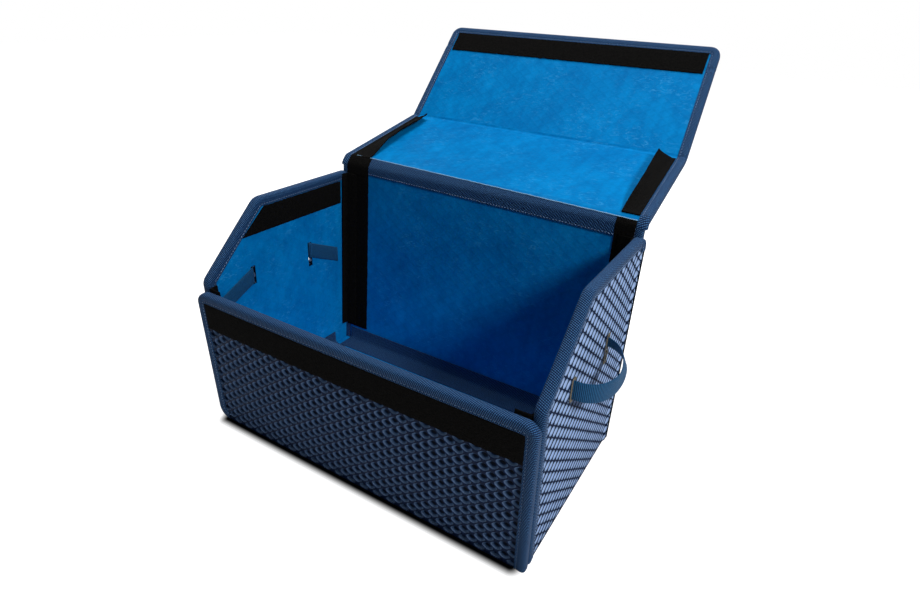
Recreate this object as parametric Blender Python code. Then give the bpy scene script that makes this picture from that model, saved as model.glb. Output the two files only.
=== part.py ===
# Organizer bag for a car boot: a folding box of embossed foam sheet with a creased lid.
# Metres, +Z up. The front wall faces -Y and the lid is hinged on top of the back wall.
# Every panel is modelled flat in its own frame: u across, v up the panel, w out of the bag.

import bpy
import bmesh
from math import atan2, ceil, cos, pi, radians, sin, tan
from mathutils import Matrix, Vector
from mathutils.geometry import delaunay_2d_cdt

# Overall size of the standing box, over the edge binding
WIDTH = 0.500
DEPTH = 0.281
WALL_HEIGHT = 0.312
FRONT_HEIGHT = 0.208
TOP_LENGTH = 0.180          # level top edge of a side wall, measured from the back

# Sheet, tape and strip stock
SHEET = 0.010
TAPE = 0.0012
STRIP = 0.0016
STITCH_LEG = 0.012          # how far the folded binding reaches over each face
CLEAR = 0.0003
FIT = 0.00005               # laid-on pieces stay this far off the sheet

# Natural lean of the walls when the box stands open
FRONT_LEAN = 0.009
BACK_LEAN = 0.018

# Embossed rhombus pattern of the outer faces
CELL_WIDTH = 0.0213
CELL_HEIGHT = 0.0157
CELL_DEPTH = 0.0036
RIM = 0.0015                # plain rim where the pattern meets an unbound edge

# Lid: rear section, front section and the closing flap, from axis to axis
LID_REAR = 0.196
LID_FRONT = 0.1558
LID_FLAP = 0.042
LID_TAPER = 0.009           # narrowing of each side over the whole lid
HINGE_HEIGHT = 0.329
REAR_ANGLE = 12.2           # above the horizontal, pointing backwards
FRONT_ANGLE = 48.2
HINGE_REACH = 0.0080        # axis to the start of each rounded sheet edge
FOLD_REACH = 0.0060

# Corner radii
CORNER = 0.015
CHAMFER_CORNER = 0.020
FOOT_CORNER_LEFT = 0.018

# Strips and tapes
FRONT_STRIP_DROP = 0.052    # from the top of the front wall to the lower edge of its strip
FRONT_STRIP_WIDTH = 0.026
SIDE_STRIP_WIDTH = 0.036
LID_STRIP_WIDTH = 0.024
CORNER_STRIP_WIDTH = 0.032
CORNER_TAB_WIDTH = 0.020
LID_TAB_WIDTH = 0.030
LID_TAB_FOOT = 0.006
HINGE_TAPE_WIDTH = 0.022
FLOOR_TAPE_LEG = 0.022

# Carry handles of flat webbing
WEBBING = 0.025
WEBBING_THICKNESS = 0.0016
SLOT_FRONT = -0.2135 * DEPTH
SLOT_BACK = 0.1886 * DEPTH
SLOT_HEIGHT = 0.202
SLOT_GAP = 0.005
HANDLE_BULGE = 0.046
HANDLE_TAIL = 0.2064 * DEPTH
HANDLE_TAIL_DROP = 0.026
HANDLE_SAG = 0.006

HALF = SHEET / 2
CORE_HALF_WIDTH = WIDTH / 2 - TAPE
FRONT_TILT = atan2(FRONT_LEAN, FRONT_HEIGHT)
BACK_TILT = atan2(BACK_LEAN, WALL_HEIGHT)
FOOT = 0.0006
FRONT_STRIP_LOW = FRONT_HEIGHT - FRONT_STRIP_DROP
WALL_OFFSET = DEPTH / 2 - TAPE - HALF
WALL_INSIDE = DEPTH / 2 - TAPE - SHEET
SIDE_INSIDE = CORE_HALF_WIDTH - SHEET
HINGE_UP = HINGE_HEIGHT / cos(BACK_TILT)
HINGE_Y = WALL_OFFSET + HINGE_HEIGHT * tan(BACK_TILT)


def clear_scene():
    for item in list(bpy.data.objects):
        bpy.data.objects.remove(item, do_unlink=True)


def make_material(name, colour, roughness, coat=0.0):
    mat = bpy.data.materials.new(name)
    mat.use_nodes = True
    shader = mat.node_tree.nodes["Principled BSDF"]
    shader.inputs["Base Color"].default_value = (*colour, 1.0)
    shader.inputs["Roughness"].default_value = roughness
    shader.inputs["Coat Weight"].default_value = coat
    return mat


def frame(origin, across, up):
    """Matrix that places a flat panel: its u runs along across and its v along up."""
    u = Vector(across).normalized()
    v = Vector(up).normalized()
    w = u.cross(v)
    turn = Matrix((u, v, w)).transposed().to_4x4()
    return Matrix.Translation(Vector(origin)) @ turn


def place(bm, name, where, mats, parent=None):
    bmesh.ops.recalc_face_normals(bm, faces=bm.faces)
    mesh = bpy.data.meshes.new(name)
    bm.to_mesh(mesh)
    bm.free()
    for mat in mats:
        mesh.materials.append(mat)
    item = bpy.data.objects.new(name, mesh)
    bpy.context.scene.collection.objects.link(item)
    if parent is not None:
        item.parent = parent
    item.matrix_local = where
    return item


def rounded(points, radii, closed=True):
    """Polyline through the points with an arc at every corner that has a radius."""
    out = []
    count = len(points)
    for i, point in enumerate(points):
        p = Vector(point)
        radius = radii[i]
        at_end = not closed and i in (0, count - 1)
        if radius <= 0 or at_end:
            out.append(p)
            continue
        a = (Vector(points[i - 1]) - p).normalized()
        b = (Vector(points[(i + 1) % count]) - p).normalized()
        half = a.angle(b) / 2
        reach = radius / tan(half)
        centre = p + (a + b).normalized() * radius / sin(half)
        start = p + a * reach - centre
        turn = start.angle_signed(p + b * reach - centre)
        steps = max(2, ceil(abs(turn) / radians(24)))
        for k in range(steps + 1):
            angle = -turn * k / steps
            out.append(centre + Matrix.Rotation(angle, 2) @ start)
    return out


def inside(poly, p):
    hit = False
    for i, a in enumerate(poly):
        b = poly[i - 1]
        if (a[1] > p[1]) != (b[1] > p[1]):
            if p[0] < (b[0] - a[0]) * (p[1] - a[1]) / (b[1] - a[1]) + a[0]:
                hit = not hit
    return hit


def clearance(poly, p):
    """Shortest distance from a point to the outline."""
    best = 1.0
    for i, a in enumerate(poly):
        a = Vector(a)
        edge = Vector(poly[i - 1]) - a
        t = max(0.0, min(1.0, (Vector(p) - a).dot(edge) / edge.length_squared))
        best = min(best, (Vector(p) - a - edge * t).length)
    return best


def inset(poly, distance):
    """Counter-clockwise outline moved inwards by the distance."""
    out = []
    for i, point in enumerate(poly):
        p = Vector(point)
        a = (p - Vector(poly[i - 1])).normalized()
        b = (Vector(poly[(i + 1) % len(poly)]) - p).normalized()
        na = Vector((-a.y, a.x))
        nb = Vector((-b.y, b.x))
        out.append(p + (na + nb) * distance / (1 + na.dot(nb)))
    return out


def clip_to(poly, p, q):
    """Pieces of the segment p-q that lie inside the outline."""
    d = q - p
    cuts = [0.0, 1.0]
    for i, a in enumerate(poly):
        a = Vector(a)
        e = Vector(poly[i - 1]) - a
        den = d.x * e.y - d.y * e.x
        if abs(den) < 1e-12:
            continue
        t = ((a.x - p.x) * e.y - (a.y - p.y) * e.x) / den
        s = ((a.x - p.x) * d.y - (a.y - p.y) * d.x) / den
        if 0 < t < 1 and 0 <= s <= 1:
            cuts.append(t)
    cuts.sort()
    out = []
    for t0, t1 in zip(cuts, cuts[1:]):
        if t1 - t0 > 1e-5 and inside(poly, p + d * (t0 + t1) / 2):
            out.append((p + d * t0, p + d * t1))
    return out


def lattice(field, holes):
    """Ridge lines and pocket centres of the rhombus pattern inside the field."""
    vs = [p[1] for p in field]
    low = min(vs) - 0.37 * CELL_HEIGHT
    across = ceil(2 * max(abs(p[0]) for p in field) / CELL_WIDTH) + 1
    up = ceil((max(vs) - low) / CELL_HEIGHT) + 1
    segments = []
    reach = max(across * CELL_WIDTH, up * CELL_WIDTH)
    for k in range(-across - up, across + up + 1):
        for side in (1, -1):
            start = Vector((k * CELL_WIDTH, low))
            step = Vector((side * CELL_WIDTH, CELL_HEIGHT)) * (reach / CELL_WIDTH)
            for a, b in clip_to(field, start - step, start + step):
                segments.append((a, b))
    centres = []
    for row in range(0, 2 * up + 2):
        for col in range(-across, across + 1):
            shift = 0.5 if row % 2 == 0 else 0.0
            c = ((col + shift) * CELL_WIDTH, low + row * CELL_HEIGHT / 2)
            if not inside(field, c) or clearance(field, c) < 0.003:
                continue
            if any(inside(h, c) or clearance(h, c) < 0.003 for h in holes):
                continue
            centres.append(c)
    return segments, centres


def panel(name, where, outline, field, mats, holes=(), noses=(), flare=0.0, parent=None):
    """Sheet panel with a pocketed outer face, a smooth inner face and rounded hinge edges."""
    loops = [outline] + list(holes)
    collars = [inset(list(reversed(h)), 0.003) for h in holes]
    points = []
    edges = []
    for loop in loops + collars + ([field] if field else []):
        base = len(points)
        points.extend(Vector(p) for p in loop)
        edges.extend((base + i, base + (i + 1) % len(loop)) for i in range(len(loop)))
    pockets = []
    if field:
        ridges, pockets = lattice(field, collars)
        for a, b in ridges:
            pieces = [(a, b)]
            for collar in collars:
                pieces = [part for seg in pieces for part in outside_of(collar, *seg)]
            for c, d in pieces:
                edges.append((len(points), len(points) + 1))
                points.extend((c, d))
    first_pocket = len(points)
    points.extend(Vector(c) for c in pockets)
    flat, _, tris, origin, _, _ = delaunay_2d_cdt(points, edges, [], 0, 1e-4)
    bm = bmesh.new()
    top = []
    for i, p in enumerate(flat):
        deep = any(k >= first_pocket for k in origin[i])
        top.append(bm.verts.new((p.x, p.y, HALF - CELL_DEPTH if deep else HALF)))
    used = {}
    for tri in tris:
        centre = sum((flat[i] for i in tri), Vector((0, 0))) / 3
        if not inside(outline, centre) or any(inside(h, centre) for h in holes):
            continue
        bm.faces.new([top[i] for i in tri])
        for a, b in zip(tri, tri[1:] + tri[:1]):
            key = (min(a, b), max(a, b))
            used[key] = used.get(key, 0) + 1
    rim = [key for key, times in used.items() if times == 1]
    rim_points = sorted({i for key in rim for i in key})
    order = {i: n for n, i in enumerate(rim_points)}
    back = {i: bm.verts.new((flat[i].x, flat[i].y, -HALF)) for i in rim_points}
    flat2, _, tris2, origin2, _, _ = delaunay_2d_cdt(
        [flat[i] for i in rim_points],
        [(order[a], order[b]) for a, b in rim], [], 0, 1e-6)
    for tri in tris2:
        centre = sum((flat2[i] for i in tri), Vector((0, 0))) / 3
        if not inside(outline, centre) or any(inside(h, centre) for h in holes):
            continue
        face = bm.faces.new([back[rim_points[origin2[i][0]]] for i in tri])
        face.material_index = 1
    rings = {}
    for i in rim_points:
        rings[i] = []
        for height, sign in noses:
            if abs(flat[i].y - height) < 1e-5:
                for k in range(1, 4):
                    turn = pi * k / 4
                    past = sign * HALF * sin(turn)
                    spot = (flat[i].x * (1 + flare * past), height + past, HALF * cos(turn))
                    rings[i].append(bm.verts.new(spot))
    for a, b in rim:
        side_a = [top[a]] + rings[a] + [back[a]]
        side_b = [top[b]] + rings[b] + [back[b]]
        if len(side_a) == len(side_b):
            for k in range(len(side_a) - 1):
                bm.faces.new((side_a[k], side_a[k + 1], side_b[k + 1], side_b[k]))
        else:
            bm.faces.new(side_a + list(reversed(side_b)))
    loose = [v for v in bm.verts if not v.link_faces]
    bmesh.ops.delete(bm, geom=loose, context="VERTS")
    return place(bm, name, where, mats, parent)


def outside_of(poly, p, q):
    """Pieces of the segment p-q that lie outside the outline."""
    kept = clip_to(poly, p, q)
    if not kept:
        return [] if inside(poly, (p + q) / 2) else [(p, q)]
    out = []
    start = p
    for a, b in kept:
        if (a - start).length > 1e-5:
            out.append((start, a))
        start = b
    if (q - start).length > 1e-5:
        out.append((start, q))
    return out


def binding(name, where, path, mat, parent=None):
    """Tape folded over a sheet edge; the sheet lies to the left of the path."""
    cut = TAPE * 0.7
    outer = [(STITCH_LEG, HALF + TAPE), (cut - TAPE, HALF + TAPE), (-TAPE, HALF + TAPE - cut)]
    inner = [(STITCH_LEG, HALF + FIT), (-CLEAR / 3, HALF + FIT), (-CLEAR / 3, HALF - 0.002)]
    outer += [(d, -w) for d, w in reversed(outer)]
    inner += [(d, -w) for d, w in reversed(inner)]
    bm = bmesh.new()
    rings = []
    for i, point in enumerate(path):
        p = Vector(point)
        ahead = (Vector(path[i + 1]) - p).normalized() if i + 1 < len(path) else None
        behind = (p - Vector(path[i - 1])).normalized() if i > 0 else None
        a = behind or ahead
        b = ahead or behind
        na = Vector((-a.y, a.x))
        nb = Vector((-b.y, b.x))
        mitre = (na + nb) / (1 + na.dot(nb))
        ring = []
        for d, w in outer + list(reversed(inner)):
            spot = p + mitre * d
            ring.append(bm.verts.new((spot.x, spot.y, w)))
        rings.append(ring)
    size = len(rings[0])
    for r0, r1 in zip(rings, rings[1:]):
        for k in range(size):
            n = (k + 1) % size
            bm.faces.new((r0[k], r0[n], r1[n], r1[k]))
    for ring in (rings[0], rings[-1]):
        for k in range(size // 2 - 1):
            bm.faces.new((ring[k], ring[k + 1], ring[size - 2 - k], ring[size - 1 - k]))
    return place(bm, name, where, [mat], parent)


def slab(name, where, outline, low, high, mat, parent=None):
    """Flat piece cut to the outline, lying between two heights of the panel frame."""
    bm = bmesh.new()
    bottom = [bm.verts.new((p[0], p[1], low)) for p in outline]
    top = [bm.verts.new((p[0], p[1], high)) for p in outline]
    bm.faces.new(bottom)
    bm.faces.new(top)
    for i in range(len(outline)):
        n = (i + 1) % len(outline)
        bm.faces.new((bottom[i], bottom[n], top[n], top[i]))
    return place(bm, name, where, [mat], parent)


def swept(name, where, sections, mat, parent=None):
    """Closed body through a row of equal sections, each a ring of points."""
    bm = bmesh.new()
    rings = [[bm.verts.new(p) for p in ring] for ring in sections]
    size = len(rings[0])
    for r0, r1 in zip(rings, rings[1:]):
        for k in range(size):
            n = (k + 1) % size
            bm.faces.new((r0[k], r0[n], r1[n], r1[k]))
    bm.faces.new(rings[0])
    bm.faces.new(rings[-1])
    return place(bm, name, where, [mat], parent)


def axis_empty(name, location, angle, parent=None):
    item = bpy.data.objects.new(name, None)
    item.empty_display_size = 0.04
    bpy.context.scene.collection.objects.link(item)
    if parent is not None:
        item.parent = parent
    item.location = location
    item.rotation_euler = (angle, 0.0, 0.0)
    return item


clear_scene()
OUTSIDE = make_material("embossed foam sheet, navy", (0.016, 0.028, 0.070), 0.38, 0.3)
INSIDE = make_material("smooth foam sheet, blue", (0.010, 0.120, 0.320), 0.55)
BINDING = make_material("ribbed binding tape, navy", (0.012, 0.030, 0.080), 0.80)
HOOK = make_material("hook and loop strip, black", (0.006, 0.006, 0.007), 0.92)
BELT = make_material("flat webbing, navy", (0.008, 0.026, 0.075), 0.75)
SHEETS = [OUTSIDE, INSIDE]

FRONT = frame((0, -WALL_OFFSET, 0), (1, 0, 0), (0, -sin(FRONT_TILT), cos(FRONT_TILT)))
BACK = frame((0, WALL_OFFSET, 0), (-1, 0, 0), (0, sin(BACK_TILT), cos(BACK_TILT)))
RIGHT = frame((CORE_HALF_WIDTH - HALF, 0, 0), (0, 1, 0), (0, 0, 1))
LEFT = frame((HALF - CORE_HALF_WIDTH, 0, 0), (0, -1, 0), (0, 0, 1))
LID = Matrix.Diagonal((-1, 1, -1, 1))

# Bottom panel, plain on both faces, inside the four walls
FLOOR_X = SIDE_INSIDE - TAPE - CLEAR
FLOOR_Y = WALL_INSIDE - TAPE - CLEAR
floor_outline = [(-FLOOR_X, -FLOOR_Y), (FLOOR_X, -FLOOR_Y), (FLOOR_X, FLOOR_Y), (-FLOOR_X, FLOOR_Y)]
slab("bottom_panel", Matrix.Identity(4), floor_outline, 0.0, SHEET, INSIDE)

# Front wall with the binding round its top and sides
top = FRONT_HEIGHT / cos(FRONT_TILT) - TAPE
front_corners = [(-CORE_HALF_WIDTH, FOOT), (CORE_HALF_WIDTH, FOOT),
                 (CORE_HALF_WIDTH, top), (-CORE_HALF_WIDTH, top)]
front_outline = rounded(front_corners, [FOOT_CORNER_LEFT, 0, CORNER, CORNER])
field_x = CORE_HALF_WIDTH - STITCH_LEG
front_field = [(-field_x, FOOT_CORNER_LEFT), (FOOT_CORNER_LEFT - field_x, FOOT + RIM),
               (field_x, FOOT + RIM), (field_x, FRONT_STRIP_LOW), (-field_x, FRONT_STRIP_LOW)]
panel("front_panel", FRONT, front_outline, front_field, SHEETS)
front_path = rounded(
    [(CORE_HALF_WIDTH, FOOT), (CORE_HALF_WIDTH, top), (-CORE_HALF_WIDTH, top),
     (-CORE_HALF_WIDTH, FOOT), (0, FOOT)],
    [0, CORNER, CORNER, FOOT_CORNER_LEFT, 0], closed=False)[:-1]
binding("front_binding", FRONT, front_path, BINDING)
strip_x = field_x - 0.0005
slab("front_loop_strip", FRONT,
     [(-strip_x, FRONT_STRIP_LOW), (strip_x, FRONT_STRIP_LOW),
      (strip_x, FRONT_STRIP_LOW + FRONT_STRIP_WIDTH), (-strip_x, FRONT_STRIP_LOW + FRONT_STRIP_WIDTH)],
     HALF + FIT, HALF + STRIP, HOOK)

# Back wall, up to the rounded edge that the lid hinges on
back_top = HINGE_UP - HINGE_REACH
back_outline = [(-CORE_HALF_WIDTH, FOOT), (CORE_HALF_WIDTH, FOOT),
                (CORE_HALF_WIDTH, back_top), (-CORE_HALF_WIDTH, back_top)]
back_field = [(-field_x, FOOT + RIM), (field_x, FOOT + RIM),
              (field_x, back_top - RIM), (-field_x, back_top - RIM)]
panel("back_panel", BACK, back_outline, back_field, SHEETS, noses=[(back_top, 1)])
for tag, side in (("left", 1), ("right", -1)):
    ends = [(side * CORE_HALF_WIDTH, FOOT), (side * CORE_HALF_WIDTH, back_top)]
    binding("back_binding_" + tag, BACK, ends if side > 0 else ends[::-1], BINDING)


def side_outline():
    """Side wall seen from outside with the front to the left: core corners and radii."""
    front_y = -(FLOOR_Y - TAPE)
    back_y = FLOOR_Y - TAPE
    top_z = WALL_HEIGHT - TAPE
    high = Vector((DEPTH / 2 - TOP_LENGTH, WALL_HEIGHT))
    low = Vector((-DEPTH / 2 - FRONT_LEAN, FRONT_HEIGHT))
    slope = (low - high).normalized()
    inward = Vector((-slope.y, slope.x)) * TAPE
    if inward.y > 0:
        inward.negate()
    high += inward
    chamfer_top = high + slope * (high.y - top_z) / -slope.y
    fall = slope.y / slope.x
    lean = -tan(FRONT_TILT)
    z = (high.y + fall * (front_y - high.x)) / (1 - fall * lean)
    chamfer_low = Vector((front_y + lean * z, z))
    corners = [(front_y + lean * FOOT, FOOT), (back_y + tan(BACK_TILT) * FOOT, FOOT),
               (back_y + tan(BACK_TILT) * top_z, top_z), tuple(chamfer_top), tuple(chamfer_low)]
    return corners, [0, CORNER, CORNER, CHAMFER_CORNER, CORNER]


# Side walls with their bound edges, the handle slots and the loop strip inside the top edge
corners, radii = side_outline()
slope = Vector(corners[3]) - Vector(corners[4])
slope.normalize()
for tag, where, hand in (("right", RIGHT, 1), ("left", LEFT, -1)):
    turn = 1 if hand > 0 else -1
    outline = [Vector((hand * p.x, p.y)) for p in rounded(corners, radii)][::turn]
    field = inset(outline, STITCH_LEG)
    foot_row = [p for p in field if p.y > STITCH_LEG + FOOT + 1e-4]
    ends = sorted((p.x for p in field if p.y <= STITCH_LEG + FOOT + 1e-4))
    lows = [Vector((ends[0], FOOT + RIM)), Vector((ends[-1], FOOT + RIM))]
    split = max(range(len(foot_row)),
                key=lambda i: (foot_row[(i + 1) % len(foot_row)] - foot_row[i]).length
                if foot_row[i].y < 0.05 or foot_row[(i + 1) % len(foot_row)].y < 0.05 else 0)
    field = foot_row[split + 1:] + foot_row[:split + 1] + lows
    holes = []
    for y in (SLOT_FRONT, SLOT_BACK):
        g = SLOT_GAP / 2
        h = WEBBING / 2 + 0.0015
        box = [(hand * y - g, SLOT_HEIGHT - h), (hand * y - g, SLOT_HEIGHT + h),
               (hand * y + g, SLOT_HEIGHT + h), (hand * y + g, SLOT_HEIGHT - h)]
        holes.append([Vector(p) for p in box])
    panel(tag + "_side_panel", where, outline, field, SHEETS, holes=holes)
    loop = rounded([corners[0], corners[4], corners[3], corners[2], corners[1], (0, FOOT)],
                   [0, CORNER, CHAMFER_CORNER, CORNER, CORNER, 0], closed=False)[:-1]
    path = [Vector((hand * p.x, p.y)) for p in loop][::-turn]
    binding(tag + "_side_binding", where, path, BINDING)
    high = WALL_HEIGHT - TAPE - STITCH_LEG - 0.0005
    low = high - SIDE_STRIP_WIDTH
    back_y = corners[1][0] - STITCH_LEG - 0.0020

    def front_limit(z):
        return corners[3][0] + slope.x / slope.y * (z - corners[3][1]) + (STITCH_LEG + CLEAR) / slope.y

    strip = [(front_limit(low), low), (back_y + tan(BACK_TILT) * low, low),
             (back_y + tan(BACK_TILT) * high, high), (front_limit(high) + 0.004, high)]
    strip = [(hand * y, z) for y, z in strip][::turn]
    slab(tag + "_side_loop_strip", where, strip, -HALF - STRIP, -HALF - FIT, HOOK)

# Corner closures: loop strips on the end walls and the hook tabs of the side walls on them
for tag, where, high, low_v, flip in (
        ("front", FRONT, FRONT_HEIGHT + 0.003, 0.036, 1),
        ("back", BACK, back_top - 0.014, 0.036, -1)):
    for hand, side in (("left", -1), ("right", 1)):
        s = side * flip
        edge = SIDE_INSIDE - TAPE - CLEAR
        strip_high = min(high, FRONT_HEIGHT - STITCH_LEG - 0.003) if tag == "front" else high
        a = field_x - 0.0005
        b = a - CORNER_STRIP_WIDTH
        slab("%s_corner_loop_%s" % (tag, hand), where,
             [(s * a, low_v), (s * b, low_v), (s * b, strip_high), (s * a, strip_high)],
             -HALF - STRIP, -HALF - FIT, HOOK)
        near = -HALF - STRIP - CLEAR / 3
        far = near - STRIP
        deep = far - 0.0105
        thick = STRIP
        ring = [(edge - CORNER_TAB_WIDTH, near), (edge - CORNER_TAB_WIDTH, far),
                (edge - thick, far), (edge - thick, deep), (edge, deep), (edge, near)]
        lift = 0.0
        sections = []
        for v in (low_v + 0.004, high):
            sections.append([(s * u, v + lift, w) for u, w in ring])
        swept("%s_corner_tab_%s" % (tag, hand), where, sections, HOOK)

# Tapes over the folds between the floor and the walls
for tag, flip, tilt in (("front", -1, FRONT_TILT), ("back", 1, BACK_TILT)):
    wall = WALL_INSIDE + SHEET * tan(tilt)
    reach = FLOOR_TAPE_LEG
    out = reach * tan(tilt)
    low = SHEET + FIT
    profile = [(wall - 0.0001, low), (wall + out - 0.0001, reach + SHEET),
               (wall + out - TAPE, reach + SHEET), (wall - TAPE, SHEET + TAPE),
               (FLOOR_Y - reach, SHEET + TAPE), (FLOOR_Y - reach, low)]
    half = CORE_HALF_WIDTH - FOOT_CORNER_LEFT - 0.0030
    sections = [[(x, flip * y, z) for y, z in profile] for x in (-half, half)]
    swept(tag + "_floor_tape", Matrix.Identity(4), sections, BINDING)
for tag, flip in (("left", -1), ("right", 1)):
    reach = FLOOR_TAPE_LEG
    wall = SIDE_INSIDE - 0.0001
    low = SHEET + FIT
    profile = [(wall, low), (wall, reach + SHEET), (wall - TAPE, reach + SHEET),
               (wall - TAPE, SHEET + TAPE), (FLOOR_X - reach, SHEET + TAPE), (FLOOR_X - reach, low)]
    half = FLOOR_Y - reach - 0.0005
    sections = [[(flip * x, y, z) for x, z in profile] for y in (-half, half)]
    swept(tag + "_floor_tape", Matrix.Identity(4), sections, BINDING)

# Ribbed tape over the inside of the lid hinge, between the corner closures
tape_x = field_x - CORNER_STRIP_WIDTH - 0.001
slab("lid_hinge_tape", BACK,
     [(-tape_x, back_top - HINGE_TAPE_WIDTH), (tape_x, back_top - HINGE_TAPE_WIDTH),
      (tape_x, back_top - 0.0005), (-tape_x, back_top - 0.0005)],
     -HALF - TAPE, -HALF - FIT, BINDING)

# Axes of the lid; each parent empty sits on its fold line and carries what turns about it
hinge = axis_empty("lid_hinge_axis", (0, HINGE_Y, HINGE_HEIGHT), radians(REAR_ANGLE))
fold = axis_empty("lid_fold_axis", (0, LID_REAR, 0), radians(FRONT_ANGLE - REAR_ANGLE), hinge)
flap = axis_empty("flap_fold_axis", (0, LID_FRONT, 0), 0.0, fold)
LID_LENGTH = LID_REAR + LID_FRONT + LID_FLAP
LID_FLARE = -LID_TAPER / LID_LENGTH / CORE_HALF_WIDTH


def lid_half(length):
    return CORE_HALF_WIDTH - LID_TAPER * length / LID_LENGTH


def web(name, parent, half_length, radius):
    """Web of sheet left in the crease, round about the fold line."""
    ring = [(radius * cos(pi * k / 5), radius * sin(pi * k / 5)) for k in range(10)]
    sections = [[(x, a, b) for a, b in ring] for x in (-half_length, half_length)]
    swept(name, Matrix.Identity(4), sections, OUTSIDE, parent)


def lid_section(name, parent, start, length, lead, trail, noses):
    """Trapezoid lid panel from lead to trail past its own axis, and its side bindings."""
    near = lead
    far = length - trail
    w0 = lid_half(start + near)
    w1 = lid_half(start + far)
    outline = [(-w0, near), (w0, near), (w1, far), (-w1, far)]
    s = STITCH_LEG
    field = [(s - w0, near + RIM), (w0 - s, near + RIM), (w1 - s, far - RIM), (s - w1, far - RIM)]
    panel(name + "_panel", LID, outline, field, SHEETS, noses=noses, flare=LID_FLARE, parent=parent)
    binding(name + "_binding_left", LID, [(w0, near), (w1, far)], BINDING, parent)
    binding(name + "_binding_right", LID, [(-w1, far), (-w0, near)], BINDING, parent)
    return w0, w1


# Rear section of the lid, turning on the back wall
rear_end = LID_REAR - FOLD_REACH
lid_section("lid_rear", hinge, 0.0, LID_REAR, HINGE_REACH, FOLD_REACH,
            [(HINGE_REACH, -1), (rear_end, 1)])
hinge_web_radius = HINGE_REACH - HALF - CLEAR
fold_web_radius = FOLD_REACH - HALF - CLEAR
web("lid_hinge_web", hinge, CORE_HALF_WIDTH, hinge_web_radius)

# Front section of the lid, beyond the crease
front_end = LID_FRONT - FOLD_REACH
lid_section("lid_front", fold, LID_REAR, LID_FRONT, FOLD_REACH, FOLD_REACH,
            [(FOLD_REACH, -1), (front_end, 1)])
web("lid_fold_web", fold, lid_half(LID_REAR), fold_web_radius)

# Closing flap with its rounded bound corners and the hook strip
w0 = lid_half(LID_REAR + LID_FRONT + FOLD_REACH)
w1 = lid_half(LID_LENGTH)
edge = LID_FLAP - TAPE
flap_corners = [(-w0, FOLD_REACH), (w0, FOLD_REACH), (w1, edge), (-w1, edge)]
flap_outline = rounded(flap_corners, [0, 0, CORNER, CORNER])
s = STITCH_LEG
strip_start = edge - s - 0.0005 - LID_STRIP_WIDTH
panel("lid_flap_panel", LID, flap_outline, None, SHEETS, noses=[(FOLD_REACH, -1)],
      flare=LID_FLARE, parent=flap)
flap_path = rounded([(w0, FOLD_REACH), (w1, edge), (-w1, edge), (-w0, FOLD_REACH)],
                    [0, CORNER, CORNER, 0], closed=False)
binding("lid_flap_binding", LID, flap_path, BINDING, flap)
web("flap_fold_web", flap, w0, fold_web_radius)
strip_half = w1 - s - 0.0020
slab("lid_hook_strip", LID,
     [(-strip_half, strip_start), (strip_half, strip_start),
      (strip_half, strip_start + LID_STRIP_WIDTH), (-strip_half, strip_start + LID_STRIP_WIDTH)],
     -HALF - STRIP, -HALF - FIT, HOOK, flap)

# Hook tabs along both sides of the rear section, sewn down on one edge and standing up
for tag, side, rise in (("left", 1, (4, 20)), ("right", -1, (14, 32))):
    sections = []
    for k in range(6):
        v = HINGE_REACH + 0.008 + (LID_REAR - HINGE_REACH - FOLD_REACH - 0.016) * k / 5
        root = lid_half(v) - STITCH_LEG - 0.0006
        crook = root - LID_TAB_FOOT
        angle = radians(rise[0] + (rise[1] - rise[0]) * k / 5)
        along = Vector((-cos(angle), -sin(angle)))
        out = Vector((-sin(angle), cos(angle)))
        bend = Vector((crook, -HALF - FIT))
        tip = bend + along * (LID_TAB_WIDTH - LID_TAB_FOOT)
        lower = Vector((0, -STRIP))
        mitre = tan(angle / 2) * STRIP
        ring = [Vector((root, -HALF - FIT)), bend, tip, tip - out * STRIP,
                bend + lower + Vector((mitre, 0)), Vector((root, -HALF - FIT - STRIP))]
        sections.append([(side * p.x, v, p.y) for p in ring])
    swept("lid_tab_" + tag, LID, sections, HOOK, hinge)


def handle_path():
    """Run of the webbing in plan: (y, distance out from the middle of the side sheet, drop)."""
    inner = -HALF - CLEAR - WEBBING_THICKNESS / 2
    bend = 0.003
    path = []
    for k in range(5):
        t = k / 4
        path.append((SLOT_FRONT - bend - HANDLE_TAIL * (1 - t), inner, HANDLE_TAIL_DROP * (1 - t)))
    for k in range(1, 4):
        turn = pi / 2 * k / 3
        path.append((SLOT_FRONT - bend + bend * sin(turn), inner + bend - bend * cos(turn), 0.0))
    start = Vector((SLOT_FRONT, HALF + 0.002))
    stop = Vector((SLOT_BACK, HALF + 0.002))
    pull = Vector((0.004, HANDLE_BULGE))
    ctrl = [start, start + pull, stop + Vector((-pull.x, pull.y)), stop]
    for k in range(13):
        t = k / 12
        b = [(1 - t) ** 3, 3 * t * (1 - t) ** 2, 3 * t * t * (1 - t), t ** 3]
        p = sum((c * f for c, f in zip(ctrl, b)), Vector((0, 0)))
        path.append((p.x, p.y, HANDLE_SAG * sin(pi * t)))
    for k in range(3):
        turn = pi / 2 * (3 - k) / 3
        path.append((SLOT_BACK + bend - bend * sin(turn), inner + bend - bend * cos(turn), 0.0))
    for k in range(5):
        t = k / 4
        path.append((SLOT_BACK + bend + HANDLE_TAIL * t, inner, HANDLE_TAIL_DROP * t))
    return path


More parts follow.
